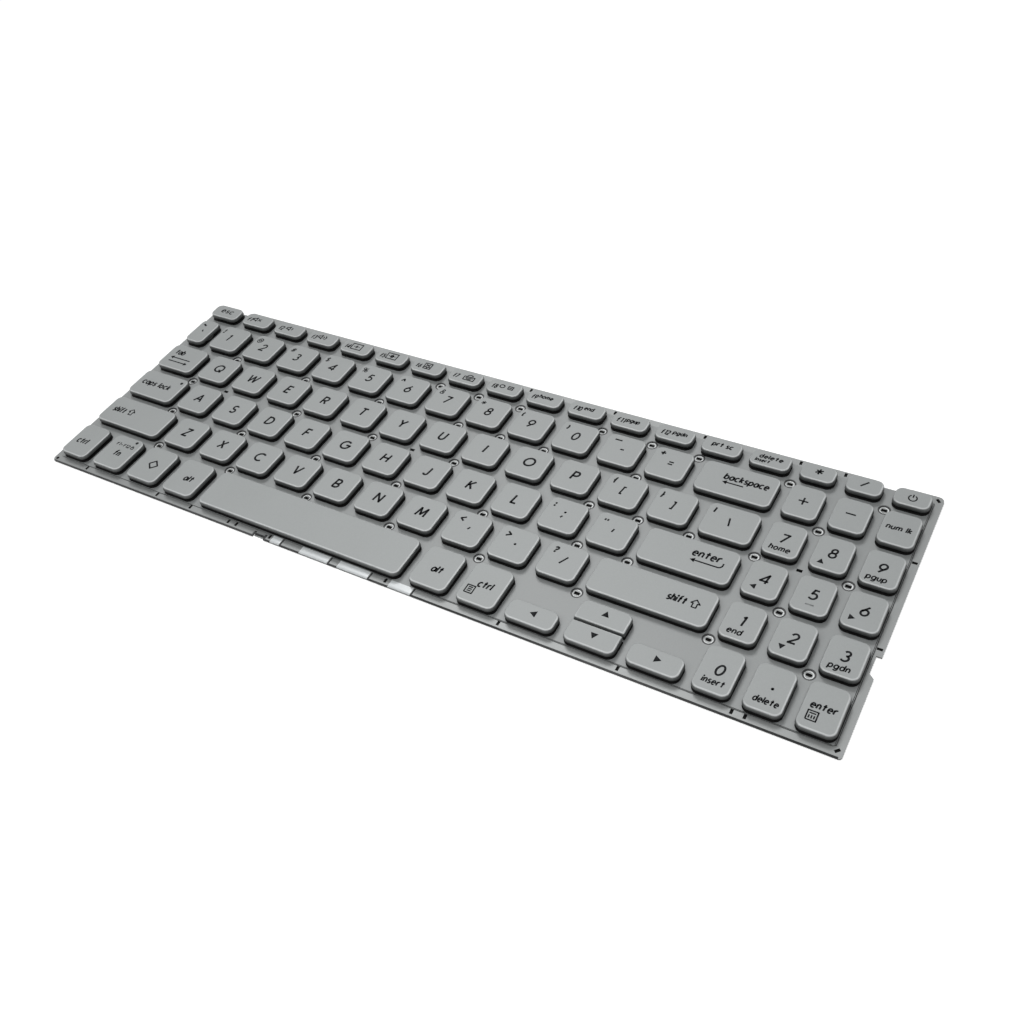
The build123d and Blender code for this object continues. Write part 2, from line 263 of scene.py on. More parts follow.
def function_row():
    """Fifteen equal keys that fill the main block's width, level with the power key."""
    names = ["escape"] + [f"f{number}" for number in range(1, 13)] + ["print_screen", "delete"]
    pitch = (MAIN_RIGHT - FUNCTION_LEFT + FUNCTION_GAP) / len(names)
    power = keys["power"]
    first = Box(FUNCTION_LEFT, FUNCTION_LEFT + pitch - FUNCTION_GAP, power.front, power.back)
    return {name: shifted(first, index * pitch, 0) for index, name in enumerate(names)}


def number_row():
    """Twelve letter-sized keys half a pitch left of the tab row's, between grave and backspace."""
    first = shifted(keys["q"], -KEY_PITCH / 2, ROW_PITCH)
    names = list("1234567890") + ["minus", "equals"]
    row = {name: shifted(first, index * KEY_PITCH, 0) for index, name in enumerate(names)}
    row["grave"] = first._replace(left=keys["tab"].left, right=first.left - KEY_GAP)
    row["backspace"] = first._replace(left=row["equals"].right + KEY_GAP, right=MAIN_RIGHT)
    return row


def number_pad():
    """Three columns that end at the power key, in line with the rows of the main block."""
    left = box_mm("number_pad_keycaps")[0][0]
    pitch = (keys["power"].left - left) / 2
    width = keys["power"].right - keys["power"].left
    level = {"q": ["pad_7", "pad_8", "pad_9"], "a": ["pad_4", "pad_5", "pad_6"]}
    level["z"] = ["pad_1", "pad_2", "pad_3"]
    level["left_ctrl"] = ["pad_0", "pad_point", "pad_enter"]
    level["power"] = ["pad_times", "pad_divide"]
    level["1"] = ["pad_plus", "pad_minus", "num_lock"]
    pad = {}
    for row_key, names in level.items():
        row = {**keys, **fixed["number_row"]}[row_key]
        for column, name in enumerate(names):
            start = left + column * pitch
            pad[name] = row._replace(left=start, right=start + width)
    return pad


fixed = {"function_row": function_row(), "number_row": number_row()}
fixed["number_pad"] = number_pad()
for name in ("pad_times", "pad_divide"):
    fixed["function_row"][name] = fixed["number_pad"].pop(name)
every_key = dict(keys)
for group_keys in fixed.values():
    every_key.update(group_keys)


# Surfaces

def plain_sheet(points, quads, triangles):
    """A sheet with empty masks."""
    empty = np.zeros(len(points))
    return Sheet(points, quads, triangles, empty, empty)


def grid_quads(rows, columns):
    """Quads of a grid whose columns close on themselves, wound to face outwards."""
    row = np.arange(rows - 1)[:, None] * columns
    column = np.arange(columns)[None, :]
    following = (column + 1) % columns
    corners = (row + column, row + following, row + columns + following, row + columns + column)
    return np.stack(corners, -1).reshape(-1, 4)


def fan(ring_start, columns, centre, faces_up):
    """Triangles from one ring of a grid to a centre point."""
    column = ring_start + np.arange(columns)
    following = ring_start + (np.arange(columns) + 1) % columns
    ends = (column, following) if faces_up else (following, column)
    return np.stack((*ends, np.full(columns, centre)), -1)


def rounded_rings(box, radii, insets, heights):
    """Rings round a box. A point is its corner's circle centre plus that circle's radius at an
    angle; a ring's inset moves the centre and shortens the radius, and each ring has a height."""
    angle = np.linspace(0, np.pi / 2, CORNER_POINTS) + np.arange(4)[:, None] * np.pi / 2
    angle = angle.ravel()
    side_x = np.repeat([1, -1, -1, 1], CORNER_POINTS)
    side_y = np.repeat([1, 1, -1, -1], CORNER_POINTS)
    edge_x = np.where(side_x > 0, box.right, box.left)
    edge_y = np.where(side_y > 0, box.back, box.front)
    inset = np.asarray(insets)[:, None]
    radius = np.maximum(np.repeat(radii, CORNER_POINTS) - inset, SPLIT_CORNER_RADIUS / 2)
    x = edge_x - side_x * (inset + radius) + radius * np.cos(angle)
    y = edge_y - side_y * (inset + radius) + radius * np.sin(angle)
    z = np.broadcast_to(np.asarray(heights)[:, None], x.shape)
    return np.stack((x, y, z), -1)


def cap_profile():
    """Inset, height, painted edge highlight and painted shade from the pocket's roof round the skirt to the
    top.
    """
    turn = np.linspace(0, np.pi / 2, FILLET_POINTS)
    wall_z = np.linspace(SKIRT_Z + SKIRT_EDGE, TOP_Z - EDGE_FILLET, WALL_RINGS)
    wall_inset = CAP_DRAFT * (wall_z - SKIRT_Z) / (TOP_Z - SKIRT_Z)
    fillet_inset = wall_inset[-1] + EDGE_FILLET * (1 - np.cos(turn))
    fillet_z = TOP_Z - EDGE_FILLET * (1 - np.sin(turn))
    round_edge = SKIRT_EDGE * np.array([0.2, 0.4, 0.5])
    inset = [CAP_WALL, CAP_WALL, CAP_WALL - round_edge[2], SKIRT_EDGE, round_edge[0]]
    z = [ROOF_Z, SKIRT_Z + round_edge[2], SKIRT_Z, SKIRT_Z, SKIRT_Z + round_edge[1]]
    inset += [*wall_inset, *fillet_inset[1:], *(fillet_inset[-1] + np.array(TOP_MARGINS))]
    z += [*wall_z, *fillet_z[1:], TOP_Z, TOP_Z]
    rim = np.zeros(len(inset))
    rim[-FILLET_POINTS - 1:-1] = np.minimum(1, np.linspace(*HIGHLIGHT_SHARES, FILLET_POINTS))
    side = np.interp(TOP_Z - np.array(z), EDGE_FILLET * np.array(SHADE_DEPTHS), SHADE_SHARES)
    return np.array(inset), np.array(z), rim, side


def corner_radii(name):
    """Corner radii of a cap, back right first; the two halves of the cursor pair meet squarely."""
    back = SPLIT_CORNER_RADIUS if name == "arrow_down" else CORNER_RADIUS
    front = SPLIT_CORNER_RADIUS if name == "arrow_up" else CORNER_RADIUS
    return back, back, front, front


def cap_sheet(name, box):
    """Keycap: rounded outlines of one box carried along the moulding's profile, roof to top."""
    inset, z, rim, side = cap_profile()
    rings = rounded_rings(box, corner_radii(name), inset, z)
    rows, columns = rings.shape[:2]
    inward = rings[-1, :, :2] - rings[-2, :, :2]
    inward /= np.linalg.norm(inward, axis=1, keepdims=True)
    highlight_share = HIGHLIGHT_ROUND - HIGHLIGHT_RIGHT * inward[:, 0] + HIGHLIGHT_FRONT * inward[:, 1]
    ends = np.array([[*middle(box), ROOF_Z], [*middle(box), TOP_Z]])
    points = np.concatenate((rings.reshape(-1, 3), ends))
    roof = fan(0, columns, rows * columns, False)
    top = fan((rows - 1) * columns, columns, rows * columns + 1, True)
    rim = np.concatenate((np.outer(rim, np.clip(highlight_share, 0, 1)).ravel(), [0, 0]))
    side = np.concatenate((np.repeat(side, columns), [1, 0]))
    return Sheet(points, grid_quads(rows, columns), np.concatenate((roof, top)), rim, side)


def under_cap_shade_sheet(name, box):
    """Painted shade under a key: the cap's outline as a thin black leaf on the membrane."""
    levels = (MEMBRANE_Z - LEAF_FOOT / 2, MEMBRANE_Z + UNDER_CAP_SHADE_RISE)
    rings = rounded_rings(box, corner_radii(name), (UNDER_CAP_SHADE_INSET, UNDER_CAP_SHADE_INSET), levels)
    columns = rings.shape[1]
    points = np.concatenate((rings.reshape(-1, 3), [[*middle(box), levels[1]]]))
    return plain_sheet(points, grid_quads(2, columns), fan(columns, columns, 2 * columns, True))


def across_path(points):
    """Sideways direction at each point of a flat path, lengthened at corners so that the width
    stays true: the sum of the two neighbouring normals over one plus their product."""
    step = np.diff(points, axis=0)
    step /= np.linalg.norm(step, axis=1, keepdims=True)
    normal = np.stack((-step[:, 1], step[:, 0]), -1)
    before = np.concatenate((normal[:1], normal))
    after = np.concatenate((normal, normal[-1:]))
    return (before + after) / np.maximum(1 + (before * after).sum(1), CORNER_LIMIT)[:, None]


def swept(points, section, widths=1.0):
    """A section (across, up) carried along a flat path: a point is the path's point plus the
    section's share of the sideways direction, at the section's height."""
    points = np.asarray(points, float)
    section = np.asarray(section, float)
    sideways = across_path(points) * np.broadcast_to(widths, len(points))[:, None]
    plan = points[:, None] + sideways[:, None] * section[None, :, :1]
    z = np.broadcast_to(section[:, 1], plan.shape[:2])
    rows, columns = plan.shape[:2]
    body = np.concatenate((plan, z[..., None]), -1).reshape(-1, 3)
    ends = np.stack((body[:columns].mean(0), body[-columns:].mean(0)))
    start = fan(0, columns, rows * columns, False)
    finish = fan((rows - 1) * columns, columns, rows * columns + 1, True)
    corners = np.concatenate((body, ends))
    return plain_sheet(corners, grid_quads(rows, columns), np.concatenate((start, finish)))


def turned(profile, centre, sides, closed_top):
    """A profile (radius, height) turned about an upright axis through a centre."""
    profile = np.asarray(profile, float)
    angle = np.arange(sides) * 2 * np.pi / sides
    x = centre[0] + profile[:, :1] * np.cos(angle)
    y = centre[1] + profile[:, :1] * np.sin(angle)
    z = np.broadcast_to(profile[:, 1:], x.shape)
    points = np.stack((x, y, z), -1).reshape(-1, 3)
    faces = np.zeros((0, 3), int)
    if closed_top:
        points = np.concatenate((points, [[*centre, profile[-1, 1]]]))
        faces = fan((len(profile) - 1) * sides, sides, len(points) - 1, True)
    return plain_sheet(points, grid_quads(len(profile), sides), faces)


def slab_section(half_width, low, high):
    """Rectangle section of a flat strip."""
    return [(half_width, high), (-half_width, high), (-half_width, low), (half_width, low)]


def add_piece(name, sheets, material, replaced=(), body="base"):
    """One mesh object from several sheets, with its masks, riding on a body of the CAD model."""
    starts = np.cumsum([0] + [len(sheet.points) for sheet in sheets[:-1]])
    points = np.concatenate([sheet.points for sheet in sheets]) * METRES
    quads = np.concatenate([sheet.quads + start for sheet, start in zip(sheets, starts)])
    triangles = np.concatenate([sheet.triangles + start for sheet, start in zip(sheets, starts)])
    mesh = bpy.data.meshes.new(name)
    mesh.from_pydata(points.tolist(), [], quads.tolist() + triangles.tolist())
    mesh.polygons.foreach_set("use_smooth", np.ones(len(mesh.polygons), bool))
    for mask in ("rim", "side"):
        values = np.concatenate([getattr(sheet, mask) for sheet in sheets])
        mesh.attributes.new(mask, "FLOAT", "POINT").data.foreach_set("value", values)
    mesh.materials.append(material)
    piece = bpy.data.objects.new(name, mesh)
    bpy.context.scene.collection.objects.link(piece)
    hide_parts(*replaced)
    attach(piece, body)
    return piece


# Materials

UPRIGHT_LIMIT = 0.5
SIDEWAYS_SHARE = 0.6
BUMP_DEPTH = 0.00002
NOISE_DETAIL = 3.0
# Finish of a surface where its own call says nothing else
FINISH = {"broad": 60.0, "fine": 2500.0, "spread": 0.1, "bump": 0.1, "metallic": 0.0, "specular": 0.4}


def new_group(name, inputs, outputs):
    """Empty shader node group with its sockets."""
    group = bpy.data.node_groups.new(name, "ShaderNodeTree")
    for label, kind, value in inputs:
        group.interface.new_socket(label, in_out="INPUT", socket_type=kind).default_value = value
    for label, kind in outputs:
        group.interface.new_socket(label, in_out="OUTPUT", socket_type=kind)
    return group, group.nodes.new("NodeGroupInput"), group.nodes.new("NodeGroupOutput")


def math_node(tree, operation, first, second):
    """A math node; each operand is a socket or a number."""
    node = tree.nodes.new("ShaderNodeMath")
    node.operation = operation
    for index, operand in enumerate((first, second)):
        if isinstance(operand, bpy.types.NodeSocket):
            tree.links.new(operand, node.inputs[index])
        else:
            node.inputs[index].default_value = operand
    return node.outputs[0]


def grain_group():
    """Tone about one from a broad and a fine noise, and the fine noise as a height."""
    inputs = [("Vector", "NodeSocketVector", (0, 0, 0)),
              ("Broad Scale", "NodeSocketFloat", FINISH["broad"]),
              ("Fine Scale", "NodeSocketFloat", FINISH["fine"]),
              ("Spread", "NodeSocketFloat", FINISH["spread"])]
    outputs = [("Tone", "NodeSocketFloat"), ("Height", "NodeSocketFloat")]
    group, entry, leave = new_group("surface_grain", inputs, outputs)
    noises = []
    for scale in ("Broad Scale", "Fine Scale"):
        noise = group.nodes.new("ShaderNodeTexNoise")
        noise.inputs["Detail"].default_value = NOISE_DETAIL
        group.links.new(entry.outputs["Vector"], noise.inputs["Vector"])
        group.links.new(entry.outputs[scale], noise.inputs["Scale"])
        noises.append(noise.outputs["Fac"])
    mean = math_node(group, "ADD", noises[0], noises[1])
    offset = math_node(group, "SUBTRACT", mean, 1.0)
    swing = math_node(group, "MULTIPLY", offset, entry.outputs["Spread"])
    group.links.new(math_node(group, "ADD", swing, 1.0), leave.inputs["Tone"])
    group.links.new(noises[1], leave.inputs["Height"])
    return group


def toned_group():
    """Base colour mixed towards a second one by a mask, then multiplied by a tone and a shade."""
    inputs = [("Color", "NodeSocketColor", (0.5, 0.5, 0.5, 1)), ("Second", "NodeSocketColor", (1, 1, 1, 1)),
              ("Mask", "NodeSocketFloat", 0.0), ("Tone", "NodeSocketFloat", 1.0),
              ("Shade", "NodeSocketFloat", 0.0)]
    group, entry, leave = new_group("toned_colour", inputs, [("Color", "NodeSocketColor")])
    mix = group.nodes.new("ShaderNodeMix")
    mix.data_type = "RGBA"
    group.links.new(entry.outputs["Mask"], mix.inputs["Factor"])
    group.links.new(entry.outputs["Color"], mix.inputs["A"])
    group.links.new(entry.outputs["Second"], mix.inputs["B"])
    light = math_node(group, "SUBTRACT", 1.0, entry.outputs["Shade"])
    factor = math_node(group, "MULTIPLY", entry.outputs["Tone"], light)
    scale = group.nodes.new("ShaderNodeVectorMath")
    scale.operation = "SCALE"
    group.links.new(mix.outputs["Result"], scale.inputs[0])
    group.links.new(factor, scale.inputs["Scale"])
    group.links.new(scale.outputs[0], leave.inputs["Color"])
    return group


def upright_shade_group():
    """Painted shade of the faces that stand upright, from the object's own normal: full where they face
    along Y, and a share of that where they face along X."""
    inputs = [("Normal", "NodeSocketVector", (0, 0, 1))]
    group, entry, leave = new_group("painted_upright_shade", inputs, [("Mask", "NodeSocketFloat")])
    split = group.nodes.new("ShaderNodeSeparateXYZ")
    group.links.new(entry.outputs["Normal"], split.inputs[0])
    level = math_node(group, "ABSOLUTE", split.outputs["Z"], 0.0)
    upright = math_node(group, "LESS_THAN", level, UPRIGHT_LIMIT)
    along = math_node(group, "ABSOLUTE", split.outputs["Y"], 0.0)
    along = math_node(group, "MULTIPLY", along, 1 - SIDEWAYS_SHARE)
    share = math_node(group, "ADD", along, SIDEWAYS_SHARE)
    group.links.new(math_node(group, "MULTIPLY", upright, share), leave.inputs["Mask"])
    return group


GRAIN = grain_group()
TONED = toned_group()
UPRIGHT_SHADE = upright_shade_group()


def surface(name, colour, second, roughness, mask=None, shade=0.0, stretch=(1, 1, 1), **finish):
    """Procedural finish: grain in object coordinates sets tone, roughness and a fine bump; a mask from the
    piece's painted edge highlight or the painted shade of its upright faces brings in the second colour,
    and a shade darkens it by the piece's attribute of painted shade and tone."""
    finish = {**FINISH, **finish}
    material = bpy.data.materials.new(name)
    material.use_nodes = True
    tree = material.node_tree
    shader = tree.nodes["Principled BSDF"]
    place = tree.nodes.new("ShaderNodeTexCoord")
    mapping = tree.nodes.new("ShaderNodeMapping")
    mapping.inputs["Scale"].default_value = stretch
    tree.links.new(place.outputs["Object"], mapping.inputs["Vector"])
    grain = tree.nodes.new("ShaderNodeGroup")
    grain.node_tree = GRAIN
    tree.links.new(mapping.outputs["Vector"], grain.inputs["Vector"])
    grain.inputs["Broad Scale"].default_value = finish["broad"]
    grain.inputs["Fine Scale"].default_value = finish["fine"]
    grain.inputs["Spread"].default_value = finish["spread"]
    toned = tree.nodes.new("ShaderNodeGroup")
    toned.node_tree = TONED
    toned.inputs["Color"].default_value = (*colour, 1)
    toned.inputs["Second"].default_value = (*second, 1)
    tree.links.new(grain.outputs["Tone"], toned.inputs["Tone"])
    if mask == "upright":
        upright = tree.nodes.new("ShaderNodeGroup")
        upright.node_tree = UPRIGHT_SHADE
        tree.links.new(place.outputs["Normal"], upright.inputs["Normal"])
        tree.links.new(upright.outputs["Mask"], toned.inputs["Mask"])
    elif mask:
        attribute = tree.nodes.new("ShaderNodeAttribute")
        attribute.attribute_name = mask
        tree.links.new(attribute.outputs["Fac"], toned.inputs["Mask"])
    if shade:
        attribute = tree.nodes.new("ShaderNodeAttribute")
        attribute.attribute_name = "side"
        tree.links.new(math_node(tree, "MULTIPLY", attribute.outputs["Fac"], shade), toned.inputs["Shade"])
    tree.links.new(toned.outputs["Color"], shader.inputs["Base Color"])
    rough = math_node(tree, "MULTIPLY", grain.outputs["Tone"], roughness)
    tree.links.new(rough, shader.inputs["Roughness"])
    bump = tree.nodes.new("ShaderNodeBump")
    bump.inputs["Strength"].default_value = finish["bump"]
    bump.inputs["Distance"].default_value = BUMP_DEPTH
    tree.links.new(grain.outputs["Height"], bump.inputs["Height"])
    tree.links.new(bump.outputs["Normal"], shader.inputs["Normal"])
    shader.inputs["Metallic"].default_value = finish["metallic"]
    shader.inputs["Specular IOR Level"].default_value = finish["specular"]
    return material


# Caps: the second colour is a painted highlight along the top edge, and shade is the depth of the painted
# shade on the walls and undersides
CAP_PAINT = surface("cap_paint", (0.34, 0.357, 0.356), (0.56, 0.58, 0.58), 0.5, mask="rim", shade=0.85,
                    spread=0.14, broad=45.0, fine=2400.0)
INK = surface("legend_ink", (0.008, 0.009, 0.01), (0.05, 0.05, 0.05), 0.6, spread=0.3, specular=0.1)
# Plate, membrane and tails: the second colour is painted shade on their upright faces
PLATE = surface("plate_steel", (0.255, 0.265, 0.264), (0.03, 0.03, 0.031), 0.45, mask="upright",
                stretch=(1, 0.06, 1), spread=0.16, broad=300.0, fine=4000.0, metallic=0.2)
# Painted highlight: the plate's shine inside the clearances
PLATE_HIGHLIGHT = surface("painted_plate_highlight", (0.66, 0.68, 0.68), (0.5, 0.5, 0.5), 0.4, spread=0.2, broad=300.0,
                     fine=4000.0, metallic=0.2)
FILM = surface("membrane_film", (0.275, 0.288, 0.288), (0.06, 0.062, 0.062), 0.45, mask="upright",
               spread=0.14, broad=80.0, fine=3000.0)
TAIL_FILM = surface("tail_film", (0.66, 0.69, 0.7), (0.2, 0.21, 0.21), 0.3, mask="upright", spread=0.12,
                    broad=150.0)
# Black of the painted shadow lines and of the clearances' lips
EDGE_SHADOW = surface("painted_edge_shadow", (0.03, 0.031, 0.032), (0.1, 0.1, 0.1), 0.5, spread=0.3)
# Black of the painted shade in the slots and under the caps
SHADE_BLACK = surface("painted_shade_black", (0.006, 0.006, 0.006), (0.02, 0.02, 0.02), 0.7, spread=0.3, specular=0.1)
RUBBER = surface("dome_rubber", (0.12, 0.12, 0.115), (0.6, 0.6, 0.6), 0.6, spread=0.15)
LEVER = surface("lever_plastic", (0.02, 0.02, 0.021), (0.6, 0.6, 0.6), 0.45, spread=0.1)
WIRE = surface("wire_steel", (0.55, 0.55, 0.56), (0.6, 0.6, 0.6), 0.3, spread=0.15, metallic=1.0,
               stretch=(0.05, 1, 1))


# Lettering: single strokes of a plain geometric alphabet, one unit high

def line(*points):
    """Straight strokes through points."""
    return np.array(points, float)


def arc(x, y, across, up, start, end):
    """Part of an ellipse between two angles in degrees: its centre plus its half widths times cosine
    and sine."""
    steps = max(3, int(abs(end - start) / ARC_STEP) + 1)
    turn = np.radians(np.linspace(start, end, steps))
    return np.stack((x + across * np.cos(turn), y + up * np.sin(turn)), -1)


def joined(*strokes):
    """Strokes run together into one, without repeated points."""
    path = np.concatenate(strokes)
    apart = np.linalg.norm(np.diff(path, axis=0), axis=1) > SAME_POINT
    return path[np.concatenate(([True], apart))]


def dot(x, y):
    """A round dot as a short ring."""
    return arc(x, y, DOT_RADIUS, DOT_RADIUS, 0, 360)


BOWL = arc(0.3, 0.32, 0.3, 0.32, 0, 360)
ARCH = joined(arc(0.25, 0.4, 0.25, 0.26, 180, 0), line((0.5, 0.4), (0.5, 0)))
STEM = line((0, 0), (0, 1))
SHORT_STEM = line((0, 0), (0, 0.66))
P_BOWL = joined(line((0, 0), (0, 1), (0.28, 1)), arc(0.28, 0.73, 0.27, 0.27, 90, -90),
                line((0.28, 0.46), (0, 0.46)))
S_CURVE = joined(arc(0.28, 0.75, 0.24, 0.25, 30, 270), arc(0.28, 0.25, 0.28, 0.25, 90, -150))

GLYPHS = {
    "A": [line((0, 0), (0.4, 1), (0.8, 0)), line((0.14, 0.34), (0.66, 0.34))],
    "B": [P_BOWL, joined(line((0.28, 0.46), (0.3, 0.46)), arc(0.3, 0.23, 0.28, 0.23, 90, -90),
                         line((0.3, 0), (0, 0)))],
    "C": [arc(0.5, 0.5, 0.5, 0.5, 48, 312)],
    "D": [joined(line((0, 0), (0, 1), (0.22, 1)), arc(0.22, 0.5, 0.5, 0.5, 90, -90),
                 line((0.22, 0), (0, 0)))],
    "E": [line((0.52, 1), (0, 1), (0, 0), (0.52, 0)), line((0, 0.5), (0.47, 0.5))],
    "F": [line((0.5, 1), (0, 1), (0, 0)), line((0, 0.5), (0.45, 0.5))],
    "G": [joined(arc(0.5, 0.5, 0.5, 0.5, 48, 360), line((1, 0.5), (0.56, 0.5)))],
    "H": [STEM, line((0.66, 0), (0.66, 1)), line((0, 0.5), (0.66, 0.5))],
    "I": [STEM],
    "J": [joined(line((0.42, 1), (0.42, 0.22)), arc(0.21, 0.22, 0.21, 0.22, 0, -170))],
    "K": [STEM, line((0.54, 1), (0, 0.4)), line((0.16, 0.58), (0.58, 0))],
    "L": [line((0, 1), (0, 0), (0.48, 0))],
    "M": [line((0, 0), (0.1, 1), (0.44, 0.2), (0.78, 1), (0.88, 0))],
    "N": [line((0, 0), (0, 1), (0.68, 0), (0.68, 1))],
    "O": [arc(0.5, 0.5, 0.5, 0.5, 0, 360)],
    "P": [P_BOWL],
    "Q": [arc(0.5, 0.5, 0.5, 0.5, 0, 360), line((0.58, 0.34), (1.0, -0.06))],
    "R": [P_BOWL, line((0.24, 0.46), (0.56, 0))],
    "S": [S_CURVE],
    "T": [line((0, 1), (0.62, 1)), line((0.31, 1), (0.31, 0))],
    "U": [joined(line((0, 1), (0, 0.31)), arc(0.31, 0.31, 0.31, 0.31, 180, 360),
                 line((0.62, 0.31), (0.62, 1)))],
    "V": [line((0, 1), (0.37, 0), (0.74, 1))],
    "W": [line((0, 1), (0.27, 0), (0.56, 0.9), (0.85, 0), (1.12, 1))],
    "X": [line((0, 0), (0.66, 1)), line((0, 1), (0.66, 0))],
    "Y": [line((0, 1), (0.34, 0.48), (0.68, 1)), line((0.34, 0.48), (0.34, 0))],
    "Z": [line((0, 1), (0.62, 1), (0, 0), (0.62, 0))],
    "0": [arc(0.31, 0.5, 0.31, 0.5, 0, 360)],
    "1": [line((0.06, 0.86), (0.26, 1), (0.26, 0))],
    "2": [joined(arc(0.29, 0.71, 0.28, 0.29, 165, -38), line((0, 0), (0.6, 0)))],
    "3": [joined(arc(0.28, 0.76, 0.24, 0.24, 150, -80), arc(0.28, 0.27, 0.29, 0.27, 75, -150))],
    "4": [line((0.54, 0), (0.54, 1), (0, 0.25), (0.74, 0.25))],
    "5": [joined(line((0.52, 1), (0.16, 1), (0.08, 0.56)), arc(0.27, 0.31, 0.31, 0.31, 125, -150))],
    "6": [arc(0.3, 0.31, 0.3, 0.31, 0, 360), line((0.48, 1), (0.04, 0.42))],
    "7": [line((0, 1), (0.58, 1), (0.16, 0))],
    "8": [arc(0.29, 0.76, 0.23, 0.24, 0, 360), arc(0.29, 0.27, 0.29, 0.27, 0, 360)],
    "9": [arc(0.3, 0.69, 0.3, 0.31, 0, 360), line((0.56, 0.58), (0.12, 0))],
    "a": [BOWL, line((0.6, 0.66), (0.6, 0))],
    "b": [BOWL, STEM],
    "c": [arc(0.32, 0.32, 0.32, 0.33, 48, 312)],
    "d": [BOWL, line((0.6, 1), (0.6, 0))],
    "e": [joined(line((0.02, 0.34), (0.6, 0.34)), arc(0.31, 0.32, 0.3, 0.33, 10, 312))],
    "f": [joined(line((0.22, 0), (0.22, 0.78)), arc(0.44, 0.78, 0.22, 0.22, 180, 70)),
          line((0, 0.62), (0.5, 0.62))],
    "g": [BOWL, joined(line((0.6, 0.66), (0.6, -0.06)), arc(0.3, -0.06, 0.3, 0.24, 0, -150))],
    "h": [STEM, ARCH],
    "i": [SHORT_STEM, dot(0, 0.9)],
    "k": [STEM, line((0.44, 0.66), (0, 0.26)), line((0.14, 0.38), (0.48, 0))],
    "l": [STEM],
    "m": [SHORT_STEM, ARCH * (0.88, 1), ARCH * (0.88, 1) + (0.44, 0)],
    "n": [SHORT_STEM, ARCH],
    "o": [BOWL],
    "p": [BOWL, line((0, 0.66), (0, -0.3))],
    "r": [SHORT_STEM, arc(0.26, 0.38, 0.26, 0.28, 180, 55)],
    "s": [S_CURVE * (0.78, 0.66)],
    "t": [line((0.28, 0.95), (0.28, 0)), line((0, 0.64), (0.56, 0.64))],
    "u": [joined(line((0, 0.66), (0, 0.25)), arc(0.25, 0.25, 0.25, 0.25, 180, 360)),
          line((0.5, 0.66), (0.5, 0))],
    "`": [line((0, 1), (0.2, 0.76))],
    "~": [joined(arc(0.17, 0.5, 0.17, 0.14, 180, 0), arc(0.51, 0.5, 0.17, 0.14, 180, 360))],
    "!": [line((0, 1), (0, 0.34)), dot(0, 0.06)],
    "@": [arc(0.5, 0.45, 0.5, 0.55, -55, 300), arc(0.48, 0.46, 0.2, 0.23, 0, 360),
          line((0.7, 0.7), (0.7, 0.3))],
    "#": [line((0.18, 0), (0.3, 1)), line((0.5, 0), (0.62, 1)), line((0, 0.34), (0.76, 0.34)),
          line((0.04, 0.66), (0.8, 0.66))],
    "$": [S_CURVE * (1, 0.84) + (0, 0.08), line((0.28, -0.06), (0.28, 1.06))],
    "%": [arc(0.2, 0.76, 0.2, 0.22, 0, 360), arc(0.72, 0.24, 0.2, 0.22, 0, 360),
          line((0.16, 0), (0.76, 1))],
    "^": [line((0, 0.6), (0.24, 1), (0.48, 0.6))],
    "&": [joined(line((0.7, 0), (0.16, 0.66)), arc(0.34, 0.8, 0.19, 0.2, 205, -40),
                 arc(0.26, 0.23, 0.26, 0.24, 120, 310), line((0.7, 0.42)))],
    "*": [line((0.3, 0.4), (0.3, 1)), line((0.04, 0.55), (0.56, 0.85)), line((0.04, 0.85), (0.56, 0.55))],
    "(": [arc(0.5, 0.45, 0.5, 0.68, 125, 235)],
    ")": [arc(-0.2, 0.45, 0.5, 0.68, 55, -55)],
    "-": [line((0, 0.45), (0.44, 0.45))],
    "_": [line((0, 0.4), (1.15, 0.4))],
    "=": [line((0, 0.68), (0.56, 0.68)), line((0, 0.32), (0.56, 0.32))],
    "+": [line((0, 0.5), (0.9, 0.5)), line((0.45, 0.05), (0.45, 0.95))],
    "[": [line((0.2, 0.9), (0, 0.9), (0, 0.02), (0.2, 0.02))],
    "]": [line((0, 0.9), (0.2, 0.9), (0.2, 0.02), (0, 0.02))],
    "{": [joined(arc(0.34, 0.85, 0.16, 0.2, 90, 180), line((0.18, 0.62)),
                 arc(0.02, 0.62, 0.16, 0.14, 0, -90), arc(0.02, 0.34, 0.16, 0.14, 90, 0),
                 line((0.18, 0.12)), arc(0.34, 0.11, 0.16, 0.2, 180, 270))],
    "}": [joined(arc(0.02, 0.85, 0.16, 0.2, 90, 0), line((0.18, 0.62)),
                 arc(0.34, 0.62, 0.16, 0.14, 180, 270), arc(0.34, 0.34, 0.16, 0.14, 90, 180),
                 line((0.18, 0.12)), arc(0.02, 0.11, 0.16, 0.2, 0, -90))],
    "\\": [line((0, 1), (0.34, 0))],
    "|": [line((0, 1.05), (0, -0.1))],
    ";": [dot(0.06, 0.58), line((0.08, 0.1), (0, -0.16))],
    ":": [dot(0.04, 0.6), dot(0.04, 0.06)],
    "'": [line((0.04, 0.72), (0, 0.36))],
    '"': [line((0.04, 0.78), (0, 0.4)), line((0.5, 0.78), (0.46, 0.4))],
    ",": [line((0.1, 0.14), (0, -0.14))],
    "<": [line((0.62, 0.86), (0, 0.46), (0.62, 0.06))],
    ".": [dot(0.04, 0.05)],
    ">": [line((0, 0.86), (0.62, 0.46), (0, 0.06))],
    "/": [line((0, 0), (0.4, 1))],
    "?": [joined(arc(0.25, 0.76, 0.25, 0.24, 170, -50), line((0.25, 0.46), (0.25, 0.3))), dot(0.25, 0.05)],
    " ": [],
}


